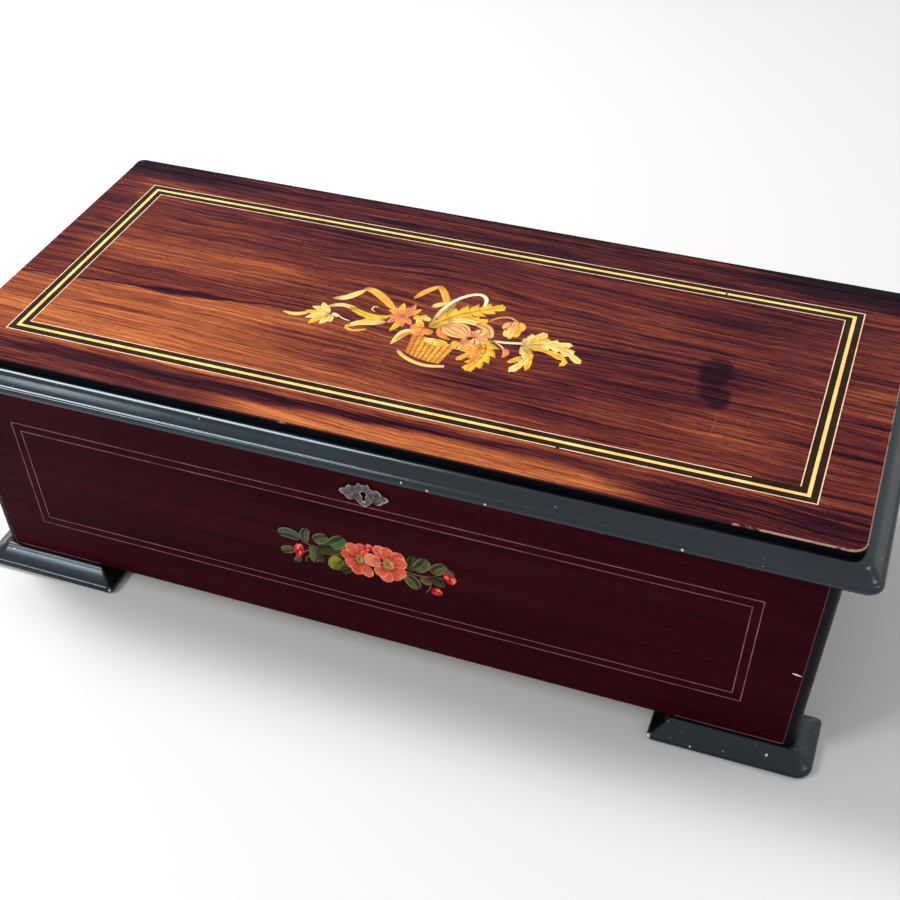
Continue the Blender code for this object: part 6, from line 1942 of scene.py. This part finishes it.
@dataclass
class Movement:
    """The movement, its glass cover, the lock and the control levers."""

    shop: Workshop
    tracks: int = 72
    pins_per_track: int = 46
    pin_radius: float = 0.17 * MM
    pin_height: float = 0.9 * MM
    first_pin: float = 0.4 * MM
    tune_step: float = 0.4 * MM
    tunes: int = 6
    bare: float = 0.12
    screws: tuple[ScrewRow, ...] = (
        ScrewRow("comb", (-92.0, -51.0, 72.3), (120.0, -51.0, 72.3), 6, 3.1, 1.6),
        ScrewRow("bedplate", (-160.0, -76.0, 38.3), (178.0, -76.0, 38.3), 2, 3.6, 1.8),
        ScrewRow("bedplate", (-160.0, 87.0, 38.3), (178.0, 87.0, 38.3), 2, 3.6, 1.8),
        ScrewRow("control_plate", (199.3, 10.0, 78.5), (199.3, 67.0, 78.5), 2, 1.8, 0.7, RIGHT),
        ScrewRow("control_plate", (199.3, 10.0, 99.8), (199.3, 67.0, 99.8), 2, 1.8, 0.7, RIGHT),
        ScrewRow("lock_case", (-16.6, -95.0, 136.7), (23.4, -95.0, 136.7), 2, 1.5, 0.15),
        ScrewRow("case_hinge_leaf_left", (-158.0, 114.4, 137.0), (-120.0, 114.4, 137.0), 3, 1.7, 0.1),
        ScrewRow("case_hinge_leaf_right", (120.0, 114.4, 137.0), (158.0, 114.4, 137.0), 3, 1.7, 0.1),
        ScrewRow("lid_hinge_leaf_left", (-158.0, 114.4, 137.3), (-120.0, 114.4, 137.3), 3, 1.7, 0.1, DOWN),
        ScrewRow("lid_hinge_leaf_right", (120.0, 114.4, 137.3), (158.0, 114.4, 137.3), 3, 1.7, 0.1, DOWN),
        ScrewRow("strike_plate", (-13.0, -95.0, 137.3), (20.0, -95.0, 137.3), 2, 1.3, 0.15, DOWN),
    )
    ease: float = 0.12 * MM
    finishes: dict[Finishes, str] = field(
        default_factory=lambda: {
            Finishes.IRON: "bedplate",
            Finishes.TURNED_BRASS: "cylinder spring_barrel great_wheel cylinder_wheel cylinder_pinion",
            Finishes.BRASS: """barrel_bridge_left barrel_bridge_right cylinder_bridge_left
                cylinder_bridge_right comb_base governor_frame governor_wheel_1 governor_wheel_2 fly
                control_plate lock_case strike_plate""",
            Finishes.STEEL: """comb cylinder_arbor tune_snail winding_arbor click_wheel click lever_ratchet
                lever_pawl lock_bolt start_lever change_lever winding_lever""",
            Finishes.BLUED: "endless_screw",
            Finishes.HANDLE: "lever_handle",
            Finishes.INSIDE: "glass_frame",
            Finishes.GLASS: "glass_pane",
        }
    )

    def build(self) -> None:
        """Dresses the movement's nodes."""
        for finish, nodes in self.finishes.items():
            for node in nodes.split():
                self.shop.dress(node, finish, self.ease)
        self.pins()
        for body in ("case", "lid"):
            rows = [row for row in self.screws if self.shop.body_of(row.node) == body]
            self.screw_heads(body, rows)

    def pins(self) -> None:
        """Sets the cylinder's pins in the tracks of the comb's teeth, all round it but for a bare strip."""
        low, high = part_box("cylinder")
        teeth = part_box("comb")
        radius = (high.z - low.z) / 2
        pitch = (teeth[1].x - teeth[0].x) / self.tracks
        sizes = {"Radius": radius, "Pitch": pitch}
        sizes.update({"Pin radius": self.pin_radius, "Pin height": self.pin_height})
        tree = Pattern("cylinder pins", sizes)
        count = self.tracks * self.pins_per_track
        points = tree.node("GeometryNodePoints", values={"Count": count}).first
        index = tree.node("GeometryNodeInputIndex").first
        track = tree.sum("FLOORED_MODULO", index, float(self.tracks))
        tune = tree.sum("FLOOR", tree.chance(0.0, self.tunes - 0.01, 4), 0.0)
        angle = tree.chance(self.bare, 2 * math.pi - self.bare, 7)
        x = track * tree.given.out("Pitch") + tune * self.tune_step + (teeth[0].x + self.first_pin)
        y = (low.y + high.y) / 2 - tree.sum("SINE", angle, 0.0) * tree.given.out("Radius")
        z = tree.sum("COSINE", angle, 0.0) * tree.given.out("Radius") + (low.z + high.z) / 2
        values = {0: points, "Position": tree.vector(x, y, z)}
        set_out = tree.node("GeometryNodeSetPosition", values=values).first
        deep = tree.given.out("Pin height") * 2.0
        shape = {"Vertices": 5, "Radius": tree.given.out("Pin radius"), "Depth": deep}
        pin = tree.node("GeometryNodeMeshCylinder", {"fill_type": "NGON"}, shape).out("Mesh")
        turned = {"Points": set_out, "Instance": pin, "Rotation": tree.vector(angle, 0.0, 0.0)}
        stood = tree.node("GeometryNodeInstanceOnPoints", values=turned).first
        finish = Finishes.STEEL
        piece = tree.run(self.shop, "cylinder_pins", bpy.data.meshes.new("cylinder_pins"), stood, finish)
        self.shop.place(piece, self.shop.body_of("cylinder"), finish)

    def screw_heads(self, body: str, rows: Sequence[ScrewRow]) -> None:
        """Makes the slotted screw heads of one body, each slot turned its own way."""
        tree = Pattern("slotted screws on " + body, {"Slot": 0.16, "Washer": 0.45})
        slot, washer = tree.given.out("Slot"), tree.given.out("Washer")
        arc = {"Resolution": 12, "Radius": 1.0, "Start Angle": slot, "Sweep Angle": math.pi - slot * 2.0}
        curve = tree.node("GeometryNodeCurveArc", {"mode": "RADIUS"}, arc).first
        curve = tree.node("GeometryNodeSetSplineCyclic", values={0: curve, "Cyclic": True}).first
        flat = tree.node("GeometryNodeFillCurve", {"mode": "NGONS"}, {0: curve}).first
        under = tree.node("GeometryNodeFlipFaces", values={0: flat}).first
        values = {0: flat, "Offset Scale": 1.0 - washer}
        raised = tree.node("GeometryNodeExtrudeMesh", {"mode": "FACES"}, values).first
        closed = tree.node("GeometryNodeMergeByDistance", values={0: tree.joined(under, raised)}).first
        lift = tree.vector(0.0, 0.0, washer)
        one = tree.node("GeometryNodeTransform", values={"Geometry": closed, "Translation": lift}).first
        turn = tree.vector(0.0, 0.0, math.pi)
        values = {"Geometry": closed, "Translation": lift, "Rotation": turn}
        other = tree.node("GeometryNodeTransform", values=values).first
        values = {"Vertices": 24, "Radius": 1.0, "Depth": washer * 2.0}
        disc = tree.node("GeometryNodeMeshCylinder", {"fill_type": "NGON"}, values)
        head = tree.joined(one, other, disc.out("Mesh"))
        facing, scale = (
            tree.node("GeometryNodeInputNamedAttribute", {"data_type": "FLOAT_VECTOR"}, {"Name": name}).first
            for name in ("facing", "extent")
        )
        aim = tree.node("FunctionNodeAlignRotationToVector", {"axis": "Z"}, {"Vector": facing}).first
        values = {"Points": tree.given.out("Geometry"), "Instance": head, "Rotation": aim, "Scale": scale}
        stood = tree.node("GeometryNodeInstanceOnPoints", values=values).first
        slant = tree.vector(0.0, 0.0, tree.chance(0.0, math.pi, 11))
        stood = tree.node("GeometryNodeRotateInstances", values={0: stood, "Rotation": slant}).first
        finish = Finishes.STEEL
        piece = tree.run(self.shop, body + "_screws", self.screw_places(rows), stood, finish)
        self.shop.place(piece, body, finish)

    @staticmethod
    def screw_places(rows: Sequence[ScrewRow]) -> Mesh:
        """The screws' places as loose points that carry their directions and sizes."""
        places, facings, extents = [], [], []
        for row in rows:
            for i in range(row.count):
                share = i / (row.count - 1)
                places.append(Vector(row.start).lerp(Vector(row.end), share) * MM)
                facings.append(row.facing)
                extents.append((row.radius * MM, row.radius * MM, row.height * MM))
        mesh = bpy.data.meshes.new("screw places")
        mesh.from_pydata(places, [], [])
        for name, vectors in (("facing", facings), ("extent", extents)):
            layer = mesh.attributes.new(name, "FLOAT_VECTOR", "POINT")
            for item, vector in zip(layer.data, vectors):
                item.vector = vector
        return mesh


def main() -> None:
    """Builds the dressed box in its studio."""
    logging.basicConfig(level=logging.INFO, format="%(message)s")
    bpy.context.scene.view_settings.view_transform = "Standard"
    shop = Workshop()
    Studio().build()
    Case(shop).build()
    Lid(shop).build()
    Movement(shop).build()
    sizes = {"cad": [list(corner) for corner in shop.box], "visual": [list(corner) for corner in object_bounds()]}


if __name__ == "__main__":
    main()
